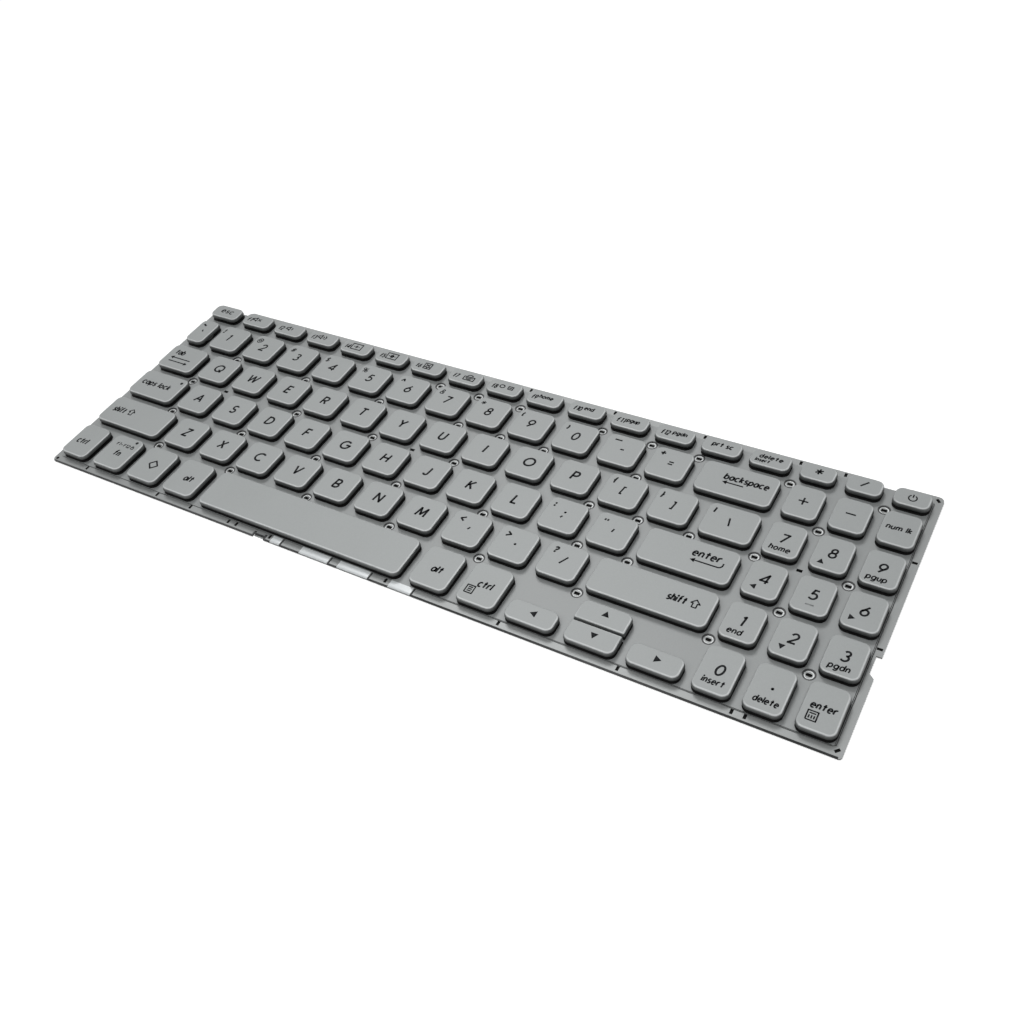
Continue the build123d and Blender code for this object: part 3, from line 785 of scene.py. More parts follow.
def words(text, height, stroke, x, y, align, reach_width=None):
    """Strokes of a text, letter after letter, drawn out to a given width over its outermost strokes
    and slanted by a share of each point's height."""
    placed = []
    cursor = 0.0
    for letter in text:
        reach = [path[:, 0].max() for path in GLYPHS[letter]]
        placed += [path * height + (cursor, 0) for path in GLYPHS[letter]]
        cursor += (max(reach, default=SPACE_WIDTH) + LETTER_GAP) * height + stroke / 2
    width = cursor - LETTER_GAP * height - stroke / 2
    if reach_width:
        placed = [path * ((reach_width - stroke) / width, 1) for path in placed]
        width = reach_width - stroke
    start = x + stroke / 2 if align == "left" else x - width / 2
    level = height * (CAPITAL_LEVEL if text.upper() == text else SMALL_LEVEL)
    slanted = [path + np.outer(path[:, 1] - level, (SLANT, 0)) for path in placed]
    return [(path + (start, y - level), stroke) for path in slanted]


def sign(symbol, size, stroke, x, y):
    """Strokes of one sign, slanted, scaled so that its longer side has a given size over the ink, and
    centred by its own outline."""
    paths = [path + np.outer(path[:, 1], (SLANT, 0)) for path in GLYPHS[symbol]]
    outline = np.concatenate(paths)
    low, high = outline.min(0), outline.max(0)
    scale = (size - stroke) / (high - low).max()
    return [((path - (low + high) / 2) * scale + (x, y), stroke) for path in paths]


def moved(strokes, x, y):
    """Strokes of an icon set in place."""
    return [(path + (x, y), stroke) for path, stroke in strokes]


def drawn(*paths, stroke=ICON_STROKE):
    """Icon strokes of one width."""
    return [(path, stroke) for path in paths]


def pointer(x, y, size, angle):
    """Filled triangle: a stroke whose width falls to nothing at its tip, turned to an angle."""
    turn = np.radians(angle)
    ahead = np.array([np.cos(turn), np.sin(turn)])
    path = np.array([x, y]) + np.outer((-0.5, 0.5), ahead) * size
    return [(path, np.array([size * TRIANGLE_WIDTH, TIP_WIDTH]))]


def frame_box(width, height):
    """Outline of an upright rectangle about the origin."""
    x, y = width / 2, height / 2
    return line((-x, -y), (x, -y), (x, y), (-x, y), (-x, -y))


SPEAKER = line((-2.0, 0.5), (-1.2, 0.5), (-0.3, 1.2), (-0.3, -1.2), (-1.2, -0.5), (-2.0, -0.5), (-2.0, 0.5))
RAISE = line((-1.6, 0.1), (0, 1.65), (1.6, 0.1), (0.75, 0.1), (0.75, -1.55), (-0.75, -1.55), (-0.75, 0.1),
             (-1.6, 0.1))
SCREEN = frame_box(5.0, 3.4)
ICONS = {
    "f1": drawn(SPEAKER, line((0.5, 0.8), (2.1, -0.8)), line((0.5, -0.8), (2.1, 0.8))),
    "f2": drawn(SPEAKER, arc(0.1, 0, 0.9, 0.9, -50, 50)),
    "f3": drawn(SPEAKER, arc(-0.1, 0, 0.9, 0.9, -50, 50), arc(0.1, 0, 1.9, 1.5, -50, 50)),
    "f4": drawn(SCREEN, arc(0, 0, 0.4, 0.4, 0, 360), line((-1.4, 0), (-1.0, 0)), line((1.0, 0), (1.4, 0)),
                line((0, 0.8), (0, 1.0)), line((0, -0.8), (0, -1.0))),
    "f5": drawn(SCREEN, arc(0, 0, 0.3, 0.3, 0, 360), arc(0, 0, 0.7, 0.7, 0, 360),
                line((-1.7, 0), (-1.2, 0)), line((1.2, 0), (1.7, 0)), line((0, 1.1), (0, 1.3)),
                line((0, -1.1), (0, -1.3))),
    "f6": drawn(frame_box(3.3, 3.2), line((-1.65, -0.7), (1.65, -0.7)), line((0, -0.7), (0, -1.6)),
                line((-1.0, 1.1), (1.0, -0.3)), line((-1.0, -0.3), (1.0, 1.1))),
    "f7": drawn(frame_box(4.8, 2.0) + (0, -0.5), line((-1.7, -0.2), (1.7, -0.2)),
                line((-1.2, -0.9), (1.2, -0.9)), arc(0, 0.8, 1.3, 0.8, 10, 170)),
    "f8": drawn(arc(-1.9, 0, 1.05, 0.85, 0, 360), frame_box(2.1, 1.6) + (1.9, 0), line((1.2, 0), (2.6, 0))),
    "menu": drawn(frame_box(2.95, 3.2), line((-0.8, 0.85), (0.8, 0.85)), line((-0.8, 0.05), (0.8, 0.05)),
                  line((-0.8, -0.75), (0.8, -0.75)), stroke=0.48),
    "calculator": drawn(frame_box(3.1, 3.3), line((-1.0, 0.85), (1.0, 0.85)),
                        line((-0.8, -1.05), (-0.8, 0.15)), line((0, -1.05), (0, 0.15)),
                        line((0.8, -1.05), (0.8, 0.15)), stroke=0.46),
    "power": drawn(arc(0, -0.15, 1.35, 1.35, 60, -240), line((0, 0.1), (0, 1.6)), stroke=0.48),
    "start": drawn(line((-2.1, 0), (0, 2.1), (2.1, 0), (0, -2.1), (-2.1, 0)), stroke=0.66),
    "raise": drawn(RAISE, stroke=0.46),
    "lock": drawn(frame_box(1.2, 0.9) + (0, -0.2), arc(0, 0.3, 0.4, 0.5, 0, 180), stroke=0.34),
    "lamp": drawn(arc(0, 0, 0.34, 0.34, 0, 360), stroke=0.66),
}


def arrow(start, tip, y):
    """A straight arrow along X with a filled head."""
    heading = 1 if tip > start else -1
    shoulder = tip - heading * ARROW_HEAD / 2
    shaft = drawn(line((start, y), (shoulder, y)), stroke=ARROW_STROKE)
    return shaft + pointer(shoulder, y, ARROW_HEAD, 90 - 90 * heading)


# Keys with two signs: each sign, its size and its place from the cap's centre, the lower one first
PAIRS = {
    "grave": ("`", 1.8, -0.2, 0.3, "~", 2.5, -1.75, 4.0),
    "1": ("1", DIGIT_SIZE, -0.75, 0.35, "!", 3.0, -5.85, 3.8),
    "2": ("2", DIGIT_SIZE, -0.25, 0.35, "@", 3.1, -4.6, 3.9),
    "3": ("3", DIGIT_SIZE, -0.5, 0.35, "#", 2.9, -4.9, 3.9),
    "4": ("4", DIGIT_SIZE, -0.45, 0.35, "$", 3.2, -5.4, 4.0),
    "5": ("5", DIGIT_SIZE, -0.15, 0.35, "%", 2.9, -4.8, 4.05),
    "6": ("6", DIGIT_SIZE, 0.0, 0.35, "^", 2.2, -4.85, 4.4),
    "7": ("7", DIGIT_SIZE, 0.1, 0.4, "&", 2.8, -4.6, 4.1),
    "8": ("8", DIGIT_SIZE, -0.05, 0.4, "*", 2.4, -4.5, 4.35),
    "9": ("9", DIGIT_SIZE, 0.0, 0.4, "(", 2.8, -5.4, 4.1),
    "0": ("0", DIGIT_SIZE, 0.1, 0.4, ")", 2.8, -5.0, 4.1),
    "minus": ("-", 2.1, 0.2, 0.3, "_", 3.5, -3.1, 4.6),
    "equals": ("=", 2.6, 0.4, 0.4, "+", 2.6, -4.1, 4.5),
    "left_bracket": ("[", 4.1, 0.0, 0.2, "{", 3.2, -4.6, 4.0),
    "right_bracket": ("]", 4.1, -0.1, 0.3, "}", 3.2, -5.4, 3.9),
    "backslash": ("\\", 4.3, -0.3, 0.3, "|", 3.0, -6.7, 4.0),
    "semicolon": (";", 3.5, 0.0, 0.2, ":", 2.0, -4.85, 3.8),
    "apostrophe": ("'", 2.2, 0.25, 0.3, '"', 1.9, -3.85, 4.1),
    "comma": (",", 1.8, 0.8, 0.3, "<", 2.7, -3.4, 3.6),
    "full_stop": (".", 0.95, 0.6, 0.2, ">", 2.7, -3.7, 3.65),
    "slash": ("/", 4.1, 0.4, 0.35, "?", 2.9, -4.05, 3.8),
}
# Words under the pad's digits: distance from the cap's left edge and width
PAD_WORDS = {"pad_7": ("home", 2.15, 7.25), "pad_9": ("pgup", 1.95, 6.75), "pad_1": ("end", 2.35, 5.0),
             "pad_3": ("pgdn", 2.1, 6.8)}
# Triangles: place from the cap's centre and the angle they point to
PAD_ARROWS = {"pad_8": (-2.6, -4.05, 90), "pad_4": (-2.65, -3.7, 180), "pad_6": (-2.85, -3.6, 0),
              "pad_2": (-2.4, -4.0, -90)}
CURSORS = {"arrow_up": (0.4, 0.95, 90), "arrow_left": (0.3, 0.6, 180), "arrow_right": (0.8, 0.5, 0),
           "arrow_down": (0.4, 0.5, -90)}
# Words and icons of the function keys: place from the cap's centre, a word's width last
FUNCTION_WORDS = {"f9": ("home", 0.4, 0.45, 6.1), "f10": ("end", 0.8, 0.45, 4.1),
                  "f11": ("pgup", 1.2, 0.35, 5.3), "f12": ("pgdn", 1.8, 0.4, 5.65)}
FUNCTION_ICONS = {"f1": (-0.6, 0.5), "f2": (0.2, 0.4), "f3": (-0.4, 0.5), "f4": (-0.1, 0.35),
                  "f5": (0, 0.35), "f6": (-0.25, 0.3), "f7": (1.8, 0), "f8": (0.7, 0.4)}
# Place and width of a function key's own number, by the length of its name
FUNCTION_NUMBERS = {2: (-4.3, 2.6), 3: (-3.6, 3.6)}


def special_legends(name, left, right, back):
    """Words and icons of the keys that carry more than one letter. Places are from the cap's centre;
    left, right and back are its edges there. A word's first numbers are its height and stroke, and its
    last one is its width."""
    word = (WORD_HEIGHT, WORD_STROKE)
    small = (SMALL_HEIGHT, SMALL_STROKE)
    tiny = (TINY_HEIGHT, TINY_STROKE)
    hook = joined(line((10.4, -1.1)), arc(10.7, 0.3, 1.45, 1.4, -90, 0), line((12.15, 1.1)))
    table = {
        "tab": words("tab", *word, left + 2.9, 2.5, "left", 5.35) + arrow(left + 13.9, left + 2.9, -0.8)
               + arrow(left + 3.5, left + 14.0, -3.1),
        "caps_lock": words("caps lock", *word, left + 2.6, 0.1, "left", 15.6)
                     + moved(ICONS["lamp"], right - 2.55, back - 2.5),
        "left_shift": words("shift", *word, left + 3.25, 0, "left", 6.7)
                      + moved(ICONS["raise"], left + 12.7, 0.9),
        "left_ctrl": words("ctrl", *word, left + 2.6, -1.0, "left", 5.5),
        "fn": words("fn", *word, 0.2, -0.9, "centre", 3.5)
              + words("f1-f12", 1.4, 0.36, -0.85, 3.75, "centre", 7.3)
              + moved(ICONS["lock"], 4.1, 4.0) + moved(ICONS["lamp"], 4.1, 6.9),
        "start": moved(ICONS["start"], 0.45, 0),
        "left_alt": words("alt", *word, 0.8, -0.8, "centre", 4.5),
        "right_alt": words("alt", *word, 0.5, -0.9, "centre", 4.5),
        "right_ctrl": words("ctrl", *word, 0.3, -0.3, "centre", 5.6) + moved(ICONS["menu"], -3.9, -3.4),
        "backspace": words("backspace", *word, 3.0, 1.4, "centre", 16.5) + arrow(2.7, -5.1, -1.05),
        "enter": words("enter", 3.0, WORD_STROKE, 0.8, 1.9, "left", 10.3) + arrow(10.5, 1.05, -1.1)
                 + drawn(hook, stroke=ARROW_STROKE),
        "right_shift": words("shift", *word, 5.35, 0.2, "left", 6.8) + moved(ICONS["raise"], 14.9, 0.75),
        "num_lock": words("num lk", *small, -0.2, 0, "centre", 8.5),
        "pad_0": sign("0", DIGIT_SIZE, DIGIT_STROKE, 0.5, 0.1)
                 + words("insert", *small, left + 2.4, -4.75, "left", 7.3),
        "pad_point": sign(".", 1.0, LETTER_STROKE, 0.7, 0.2)
                     + words("delete", *small, 0.4, -4.8, "centre", 8.0),
        "pad_enter": words("enter", 2.4, 0.56, -3.9, -0.1, "left", 8.1)
                     + moved(ICONS["calculator"], -2.2, -3.75),
        "pad_plus": drawn(line((-1.95, 0.3), (1.45, 0.3)), line((-0.25, -1.4), (-0.25, 2.0)),
                          stroke=SIGN_STROKE),
        "pad_minus": drawn(line((-1.9, 0.55), (1.5, 0.55)), stroke=SIGN_STROKE),
        "pad_times": sign("*", 3.4, SIGN_STROKE, 0.15, 0.55),
        "pad_divide": drawn(line((-1.3, -0.8), (1.0, 1.8)), stroke=SIGN_STROKE),
        "power": moved(ICONS["power"], 0, 0.15),
        "escape": words("esc", 2.7, 0.56, 0, 0.35, "centre", 6.7),
        "print_screen": words("prt sc", 2.1, 0.54, 0.1, 0.35, "centre", 8.0),
        "delete": words("delete", *tiny, 0, 0.6, "centre", 8.8)
                  + words("insert", 1.5, 0.42, -2.55, -1.55, "centre", 5.5),
        "space": [],
    }
    return table.get(name)


def legend_strokes(name, box):
    """Every stroke printed on one key, about the cap's centre."""
    half = (box.right - box.left) / 2 - CAP_DRAFT
    back = (box.back - box.front) / 2 - CAP_DRAFT
    special = special_legends(name, -half, half, back)
    if special is not None:
        return special
    if name in PAIRS:
        lower, lower_size, lower_x, lower_y, upper, upper_size, upper_x, upper_y = PAIRS[name]
        lower_stroke = DIGIT_STROKE if lower.isdigit() else SIGN_STROKE
        upper_stroke = FINE_SYMBOL_STROKE if upper in FINE_SYMBOLS else SYMBOL_STROKE
        strokes = sign(lower, lower_size, lower_stroke, lower_x, lower_y)
        return strokes + sign(upper, upper_size, upper_stroke, upper_x, upper_y)
    if name in CURSORS:
        x, y, angle = CURSORS[name]
        return pointer(x, y, CURSOR_SIZE, angle)
    if name.startswith("pad_"):
        strokes = sign(name[-1], DIGIT_SIZE, DIGIT_STROKE, *PAD_DIGIT_PLACE)
        if name in PAD_WORDS:
            word, start, width = PAD_WORDS[name]
            strokes += words(word, SMALL_HEIGHT, SMALL_STROKE, -half + start, PAD_WORD_Y, "left", width)
        if name in PAD_ARROWS:
            x, y, angle = PAD_ARROWS[name]
            strokes += pointer(x, y, PAD_ARROW_SIZE, angle)
        return strokes
    if name in fixed["function_row"]:
        x, width = FUNCTION_NUMBERS[len(name)]
        strokes = words(name, SMALL_HEIGHT, TINY_STROKE, x, FUNCTION_NUMBER_Y, "centre", width)
        if name in FUNCTION_WORDS:
            word, x, y, width = FUNCTION_WORDS[name]
            return strokes + words(word, TINY_HEIGHT, TINY_STROKE, x, y, "centre", width)
        return strokes + moved(ICONS[name], *FUNCTION_ICONS[name])
    return words(name.upper(), LETTER_HEIGHT, LETTER_STROKE, 0, LETTER_Y, "centre")


def parted(path, stroke):
    """A stroke parted at its sharp turns, each part reaching a little past the turn, so that its width
    stays true there."""
    step = np.diff(path, axis=0)
    ahead = step / np.linalg.norm(step, axis=1, keepdims=True)
    turns = np.flatnonzero((ahead[1:] * ahead[:-1]).sum(1) < SHARP_TURN) + 1
    if not len(turns):
        return [(path, stroke)]
    bounds = [0, *turns, len(path) - 1]
    parts = []
    for start, end in zip(bounds[:-1], bounds[1:]):
        part = path[start:end + 1].copy()
        part[0] -= ahead[start] * stroke * SHARP_REACH * (start > 0)
        part[-1] += ahead[end - 1] * stroke * SHARP_REACH * (end < len(path) - 1)
        parts.append((part, stroke))
    return parts


def legend_sheets(name, box):
    """Thin printed strips on the cap's top, one along each stroke: a section one wide, times the
    stroke's width."""
    section = np.array(slab_section(0.5, TOP_Z - PRINT_THICKNESS / 2, TOP_Z + PRINT_THICKNESS / 2))
    strokes = [piece for stroke in legend_strokes(name, box) for piece in parted(*stroke)]
    return [swept(path + middle(box), section, stroke) for path, stroke in strokes]


def homing_bar(box):
    """Low bar on the pad's middle key: a flat strip's section along X, a little darker than the cap."""
    path = line((-HOMING_LENGTH / 2, HOMING_Y), (HOMING_LENGTH / 2, HOMING_Y)) + middle(box)
    section = slab_section(HOMING_WIDTH / 2, TOP_Z - PRINT_THICKNESS, TOP_Z + PRINT_THICKNESS / 2)
    bar = swept(path, section)
    return bar._replace(side=np.full(len(bar.points), HOMING_SHADE))


# Mechanism under each key

def dome_sheet(box):
    """Rubber dome turned about the key's centre, smaller under the shallow keys."""
    foot = min(DOME_FOOT, (box.back - box.front) / 2 - DOME_MARGIN)
    flange = 1 + DOME_FLANGE * foot / DOME_FOOT
    radius = foot * np.array((flange, flange, *DOME_RADII))
    height = np.array(DOME_HEIGHTS) * (MECHANISM - DOME_GAP)
    return turned(np.stack((radius, MEMBRANE_Z + height), -1), middle(box), DOME_SIDES, True)


def tilted(sheet, lean, place):
    """A sheet leaning about X, then set in place: y and z turn by the lean's cosine and sine."""
    x, y, z = sheet.points.T
    turned_y = y * np.cos(lean) - z * np.sin(lean)
    turned_z = y * np.sin(lean) + z * np.cos(lean)
    return sheet._replace(points=np.stack((x, turned_y, turned_z), -1) + place)


def u_path(half, depth, radius):
    """U-shaped path open at the back, with rounded corners."""
    left = arc(-half + radius, -depth / 2 + radius, radius, radius, 180, 270)
    right = arc(half - radius, -depth / 2 + radius, radius, radius, 270, 360)
    return joined(line((-half, depth / 2)), left, right, line((half, depth / 2)))


def lever_sheets(box):
    """Two U-shaped scissor levers that cross under the cap, one leaning forwards, one back."""
    width = min(LEVER_WIDTH, box.right - box.left - LEVER_MARGIN)
    depth = min(LEVER_DEPTH, box.back - box.front - LEVER_MARGIN)
    lean = np.arcsin((MECHANISM - 2 * HINGE_CLEARANCE - LEVER_THICKNESS) / depth)
    place = np.array([*middle(box), (ROOF_Z + MEMBRANE_Z) / 2])
    section = slab_section(LEVER_BAR / 2, -LEVER_THICKNESS / 2, LEVER_THICKNESS / 2)
    inner = width - 2 * LEVER_BAR - 2 * LEVER_CLEARANCE
    levers = []
    for span, slope in ((width, lean), (inner, -lean)):
        path = u_path(span / 2 - LEVER_BAR / 2, depth - LEVER_BAR, LEVER_CORNER)
        levers.append(tilted(swept(path, section), slope, place))
    return levers


def wire_sheet(box):
    """Round stabiliser wire along a wide key, high at the cap's front and down at its ends."""
    turn = np.arange(WIRE_SIDES) * 2 * np.pi / WIRE_SIDES
    section = np.stack((WIRE_RADIUS * np.cos(turn), WIRE_RADIUS * np.sin(turn)), -1)
    path = u_path((box.right - box.left) / 2 - WIRE_END_INSET, WIRE_ARM, WIRE_CORNER)
    lean = np.arcsin((MECHANISM - 2 * HINGE_CLEARANCE - 2 * WIRE_RADIUS) / WIRE_ARM)
    y = box.front + WIRE_FRONT_INSET + WIRE_ARM / 2
    place = np.array([(box.left + box.right) / 2, y, (ROOF_Z + MEMBRANE_Z) / 2])
    return tilted(swept(path, section), -lean, place)


LEVER_NODES = ("scissor_outer_frames", "scissor_inner_frames")
WIRED = ("space", "left_shift", "right_shift", "enter")


def flattens(piece):
    """Gives the piece a mesh of its own."""
    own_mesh(piece)


for name, box in keys.items():
    body = "key_" + name
    add_piece("cap_" + name, [cap_sheet(name, box)], CAP_PAINT, ["keycap_" + name], body)
    print_sheets = legend_sheets(name, box)
    if print_sheets:
        add_piece("legend_" + name, print_sheets, INK, (), body)
    flattens(add_piece("dome_" + name, [dome_sheet(box)], RUBBER, ["rubber_domes"]))
    flattens(add_piece("levers_" + name, lever_sheets(box), LEVER, LEVER_NODES))
    if name in WIRED:
        wire = add_piece("wire_" + name, [wire_sheet(box)], WIRE, ["stabiliser_wires"])
        flattens(wire)

for group, members in fixed.items():
    caps = [cap_sheet(name, box) for name, box in members.items()]
    if "pad_5" in members:
        caps.append(homing_bar(members["pad_5"]))
    add_piece("caps_" + group, caps, CAP_PAINT, [group + "_keycaps"])
    print_sheets = [sheet for name, box in members.items() for sheet in legend_sheets(name, box)]
    add_piece("legends_" + group, print_sheets, INK)
    domes = [dome_sheet(box) for box in members.values()]
    add_piece("domes_" + group, domes, RUBBER, ["rubber_domes"])
    levers = [sheet for box in members.values() for sheet in lever_sheets(box)]
    add_piece("levers_" + group, levers, LEVER, LEVER_NODES)
backspace_wire = [wire_sheet(fixed["number_row"]["backspace"])]
add_piece("wire_backspace", backspace_wire, WIRE, ["stabiliser_wires"])


# Membrane: rims of its clearances, its edge and its tails, with painted shadow lines; painted shade in the
# plate's slots and under the caps, and painted highlights on the plate in the clearances

# Clearances stand in front of a row, at the gaps to the right of these keys
STAKE_KEYS = {
    "f6": ["f6", "f7", "f8", "f10", "f11", "f12", "delete", "pad_divide"],
    "1": ["1", "3", "5", "7", "8", "9", "minus", "pad_plus"],
    "q": ["tab", "e", "t", "u", "p", "left_bracket", "right_bracket", "backslash", "pad_8"],
    "a": ["caps_lock", "s", "f", "h", "k", "semicolon", "apostrophe", "pad_4"],
    "z": ["left_shift", "x", "v", "n", "comma", "slash", "right_shift", "pad_2"],
}
# Slots of the same kind that have no clearance, and clearances that stand off the gap's middle
PLAIN_SLOT_KEYS = ["q", "y", "pad_7"]
STAKE_SHIFT = {"f8": 0.9, "f11": 2.3, "f12": 2.7, "pad_divide": 0.6, "backslash": 0.8}
# Slots at the front and back edge stand near the gap after a key, some of them off its middle
FRONT_SLOTS = {"left_ctrl": 0, "start": 0.6, "left_alt": -1.1, "right_ctrl": 1.0, "arrow_down": 0.6,
               "pad_0": 0}
BACK_SLOTS = {"f8": -0.5, "f10": 0, "f12": 0.3, "delete": 0, "pad_times": 0}
# Keys at the right end of the main block: the gap after them is as wide as the pad's gaps
PAD_SIDE = ["backspace", "right_shift", "enter", "backslash", "delete", "right_ctrl"]


def gap_after(name):
    """Middle of the gap to the right of a key."""
    gap = FUNCTION_GAP if name in fixed["function_row"] else KEY_GAP
    if name.startswith(("pad_", "arrow_")) or name in PAD_SIDE:
        gap = PAD_GAP
    return every_key[name].right + gap / 2


def stake_places():
    """Clearance centres: in the gap to the right of a key, just in front of its row."""
    places = []
    for row_key, names in STAKE_KEYS.items():
        y = every_key[row_key].front - (FUNCTION_STAKE_OFFSET if row_key == "f6" else STAKE_OFFSET)
        places += [(gap_after(name) + STAKE_SHIFT.get(name, 0), y) for name in names]
    return places


def slot_shade(x, y, size, angle=0):
    """Painted shade in one slot: a dark flat strip a little larger than the slot, low in the plate."""
    turn = np.radians(angle)
    ahead = np.array([np.cos(turn), np.sin(turn)]) * (size[0] / 2 + SLOT_SHADE_MARGIN)
    section = slab_section(size[1] / 2 + SLOT_SHADE_MARGIN, *SLOT_SHADE_HEIGHTS)
    return swept(np.array([x, y]) + np.outer((-1, 1), ahead), section)


def slot_shade_sheets():
    """Painted shade in the stake slots, the edge slots and the corner holes: dark floors low in the plate.
    """
    plate = plan_box("base_plate")
    sheets = [slot_shade(x, y, STAKE_SLOT) for x, y in stake_places()]
    plain_y = keys["q"].front - STAKE_OFFSET
    sheets += [slot_shade(gap_after(name), plain_y, STAKE_SLOT) for name in PLAIN_SLOT_KEYS]
    front_x = [gap_after(name) + shift for name, shift in FRONT_SLOTS.items()]
    front_x += [keys["space"].left + offset for offset in SPACE_SLOTS]
    front_x.append(gap_after("pad_0") + PAD_SLOT_STEP)
    sheets += [slot_shade(x, plate.front + FRONT_SLOT_INSET, EDGE_SLOT, 90) for x in front_x]
    back_x = [gap_after(name) + shift for name, shift in BACK_SLOTS.items()]
    sheets += [slot_shade(x, plate.back - BACK_SLOT_INSET, EDGE_SLOT, 90) for x in back_x]
    side_y = [every_key[name].front - SIDE_SLOT_OFFSET for name in ("1", "a")]
    sheets += [slot_shade(plate.right - SIDE_SLOT_INSET, y, EDGE_SLOT) for y in side_y]
    corner_x = plate.right - CORNER_SLOT_INSET
    sheets.append(slot_shade(corner_x, plate.front + FRONT_CORNER_SLOT_INSET, EDGE_SLOT, 45))
    sheets.append(slot_shade(corner_x, plate.back - CORNER_SLOT_INSET, EDGE_SLOT, -45))
    hole_size = (2 * CORNER_HOLE_RADIUS, 2 * CORNER_HOLE_RADIUS)
    sheets.append(slot_shade(plate.left + CORNER_HOLE_INSET, plate.front + CORNER_HOLE_INSET, hole_size))
    return sheets


def rim_sheet(centre):
    """Round lip of a clearance, turned from its outer foot over the top and down to the plate."""
    lip = MEMBRANE_Z + RIM_RISE
    shoulder = lip - RIM_RISE / 2
    profile = [(RIM_OUTER, MEMBRANE_Z - LEAF_FOOT / 2), (RIM_OUTER, shoulder), (RIM_OUTER - RIM_EDGE, lip),
               (RIM_INNER + RIM_EDGE, lip), (RIM_INNER, shoulder), (RIM_INNER, PLATE_Z)]
    return turned(profile, np.array(centre), RIM_SIDES, False)


def highlight_ring_sheet(centre):
    """Painted highlight of the plate round a stake slot: a low light ring turned from the clearance's wall
    in to the slot's ends.
    """
    outer = RIM_INNER - HIGHLIGHT_RING_GAP
    foot, top = PLATE_Z - LEAF_FOOT / 2, PLATE_Z + HIGHLIGHT_RING_RISE
    profile = [(outer, foot), (outer, top), (HIGHLIGHT_RING_INNER, top), (HIGHLIGHT_RING_INNER, foot)]
    return turned(profile, np.array(centre), RIM_SIDES, False)


def tail_edges():
    """Left and right edge of each tail, counted from the space bar's left end."""
    starts = keys["space"].left + np.array(TAIL_OFFSETS)
    return list(zip(starts, starts + np.array(TAIL_WIDTHS)))


def edge_shadow_sheets():
    """Painted shadow lines: two along the membrane's right edge, one along its front edge from the second
    tail on, and one on the plate beside each tail's right edge."""
    right, back = box_mm("membrane")[1][:2]
    lip = box_mm("base_plate")[0][1]
    front = lip + FILM_FRONT
    edges = tail_edges()
    on_film = slab_section(SHADOW_LINE_WIDTH / 2, MEMBRANE_Z - LEAF_FOOT, MEMBRANE_Z + FILM_LINE_RISE)
    on_plate = slab_section(SHADOW_LINE_WIDTH, PLATE_Z - LEAF_FOOT, PLATE_Z + PLATE_LINE_RISE)
    low, high = front + SHADOW_LINE_FRONT_END, back - SHADOW_LINE_BACK_END
    side_x = right - SHADOW_LINE_INSET - np.array([0, SHADOW_LINE_STEP])
    sheets = [swept(line((x, low), (x, high)), on_film) for x in side_x]
    y = front + FRONT_SHADOW_INSET
    starts = [tail_right for _, tail_right in edges[1:]]
    ends = [tail_left for tail_left, _ in edges[2:]] + [right - FRONT_SHADOW_END]
    sheets += [swept(line((start, y), (end, y)), on_film) for start, end in zip(starts, ends)]
    beside = [tail_right + TAIL_LINE_GAP for _, tail_right in edges]
    sheets += [swept(line((x, lip + TAIL_BEND), (x, front)), on_plate) for x in beside]
    return sheets


def front_edge_shadow_sheets():
    """Painted shadow of the plate's cut front edge: a dark line along it, round its open notch and between
    the tails, with a painted shadow at each of the notch's inner corners."""
    plate = plan_box("base_plate")
    section = slab_section(PLATE_EDGE_SHADOW / 2, PLATE_Z - LEAF_FOOT, PLATE_Z + FILM_LINE_RISE)
    y = plate.front + PLATE_EDGE_SHADOW / 2
    notch_left = keys["space"].left + NOTCH_OFFSET
    notch_right = notch_left + NOTCH_WIDTH
    low, high = notch_left - PLATE_EDGE_SHADOW / 2, notch_right + PLATE_EDGE_SHADOW / 2
    top = plate.front + NOTCH_DEPTH + PLATE_EDGE_SHADOW / 2
    edges = tail_edges()
    starts = [tail_right + PLATE_EDGE_SHADOW_GAP for _, tail_right in edges]
    ends = [tail_left - PLATE_EDGE_SHADOW_GAP for tail_left, _ in edges] + [plate.right - PLATE_EDGE_SHADOW_RIGHT]
    notch = ((low, y), (low, top), (high, top), (high, y))
    sheets = [swept(line((plate.left + PLATE_EDGE_SHADOW_LEFT, y), *notch, (ends[0], y)), section)]
    sheets += [swept(line((start, y), (end, y)), section) for start, end in zip(starts, ends[1:])]
    corner_shadow = slab_section(CORNER_SHADOW / 2, PLATE_Z - LEAF_FOOT, PLATE_Z + PLATE_LINE_RISE)
    corner_shadow_path = line((-CORNER_SHADOW / 2, top + CORNER_SHADOW_OFFSET), (CORNER_SHADOW / 2, top + CORNER_SHADOW_OFFSET))
    sheets += [swept(corner_shadow_path + (x, 0), corner_shadow) for x in (notch_left, notch_right)]
    return sheets


def notch_tongue():
    """Lowered tongue inside the open notch."""
    left = keys["space"].left + NOTCH_OFFSET + TONGUE_GAP
    right = left + NOTCH_WIDTH - 2 * TONGUE_GAP
    y = box_mm("base_plate")[0][1] + NOTCH_DEPTH - TONGUE_WIDTH / 2
    return swept(line((left, y), (right, y)), slab_section(TONGUE_WIDTH / 2, *TONGUE_HEIGHTS))


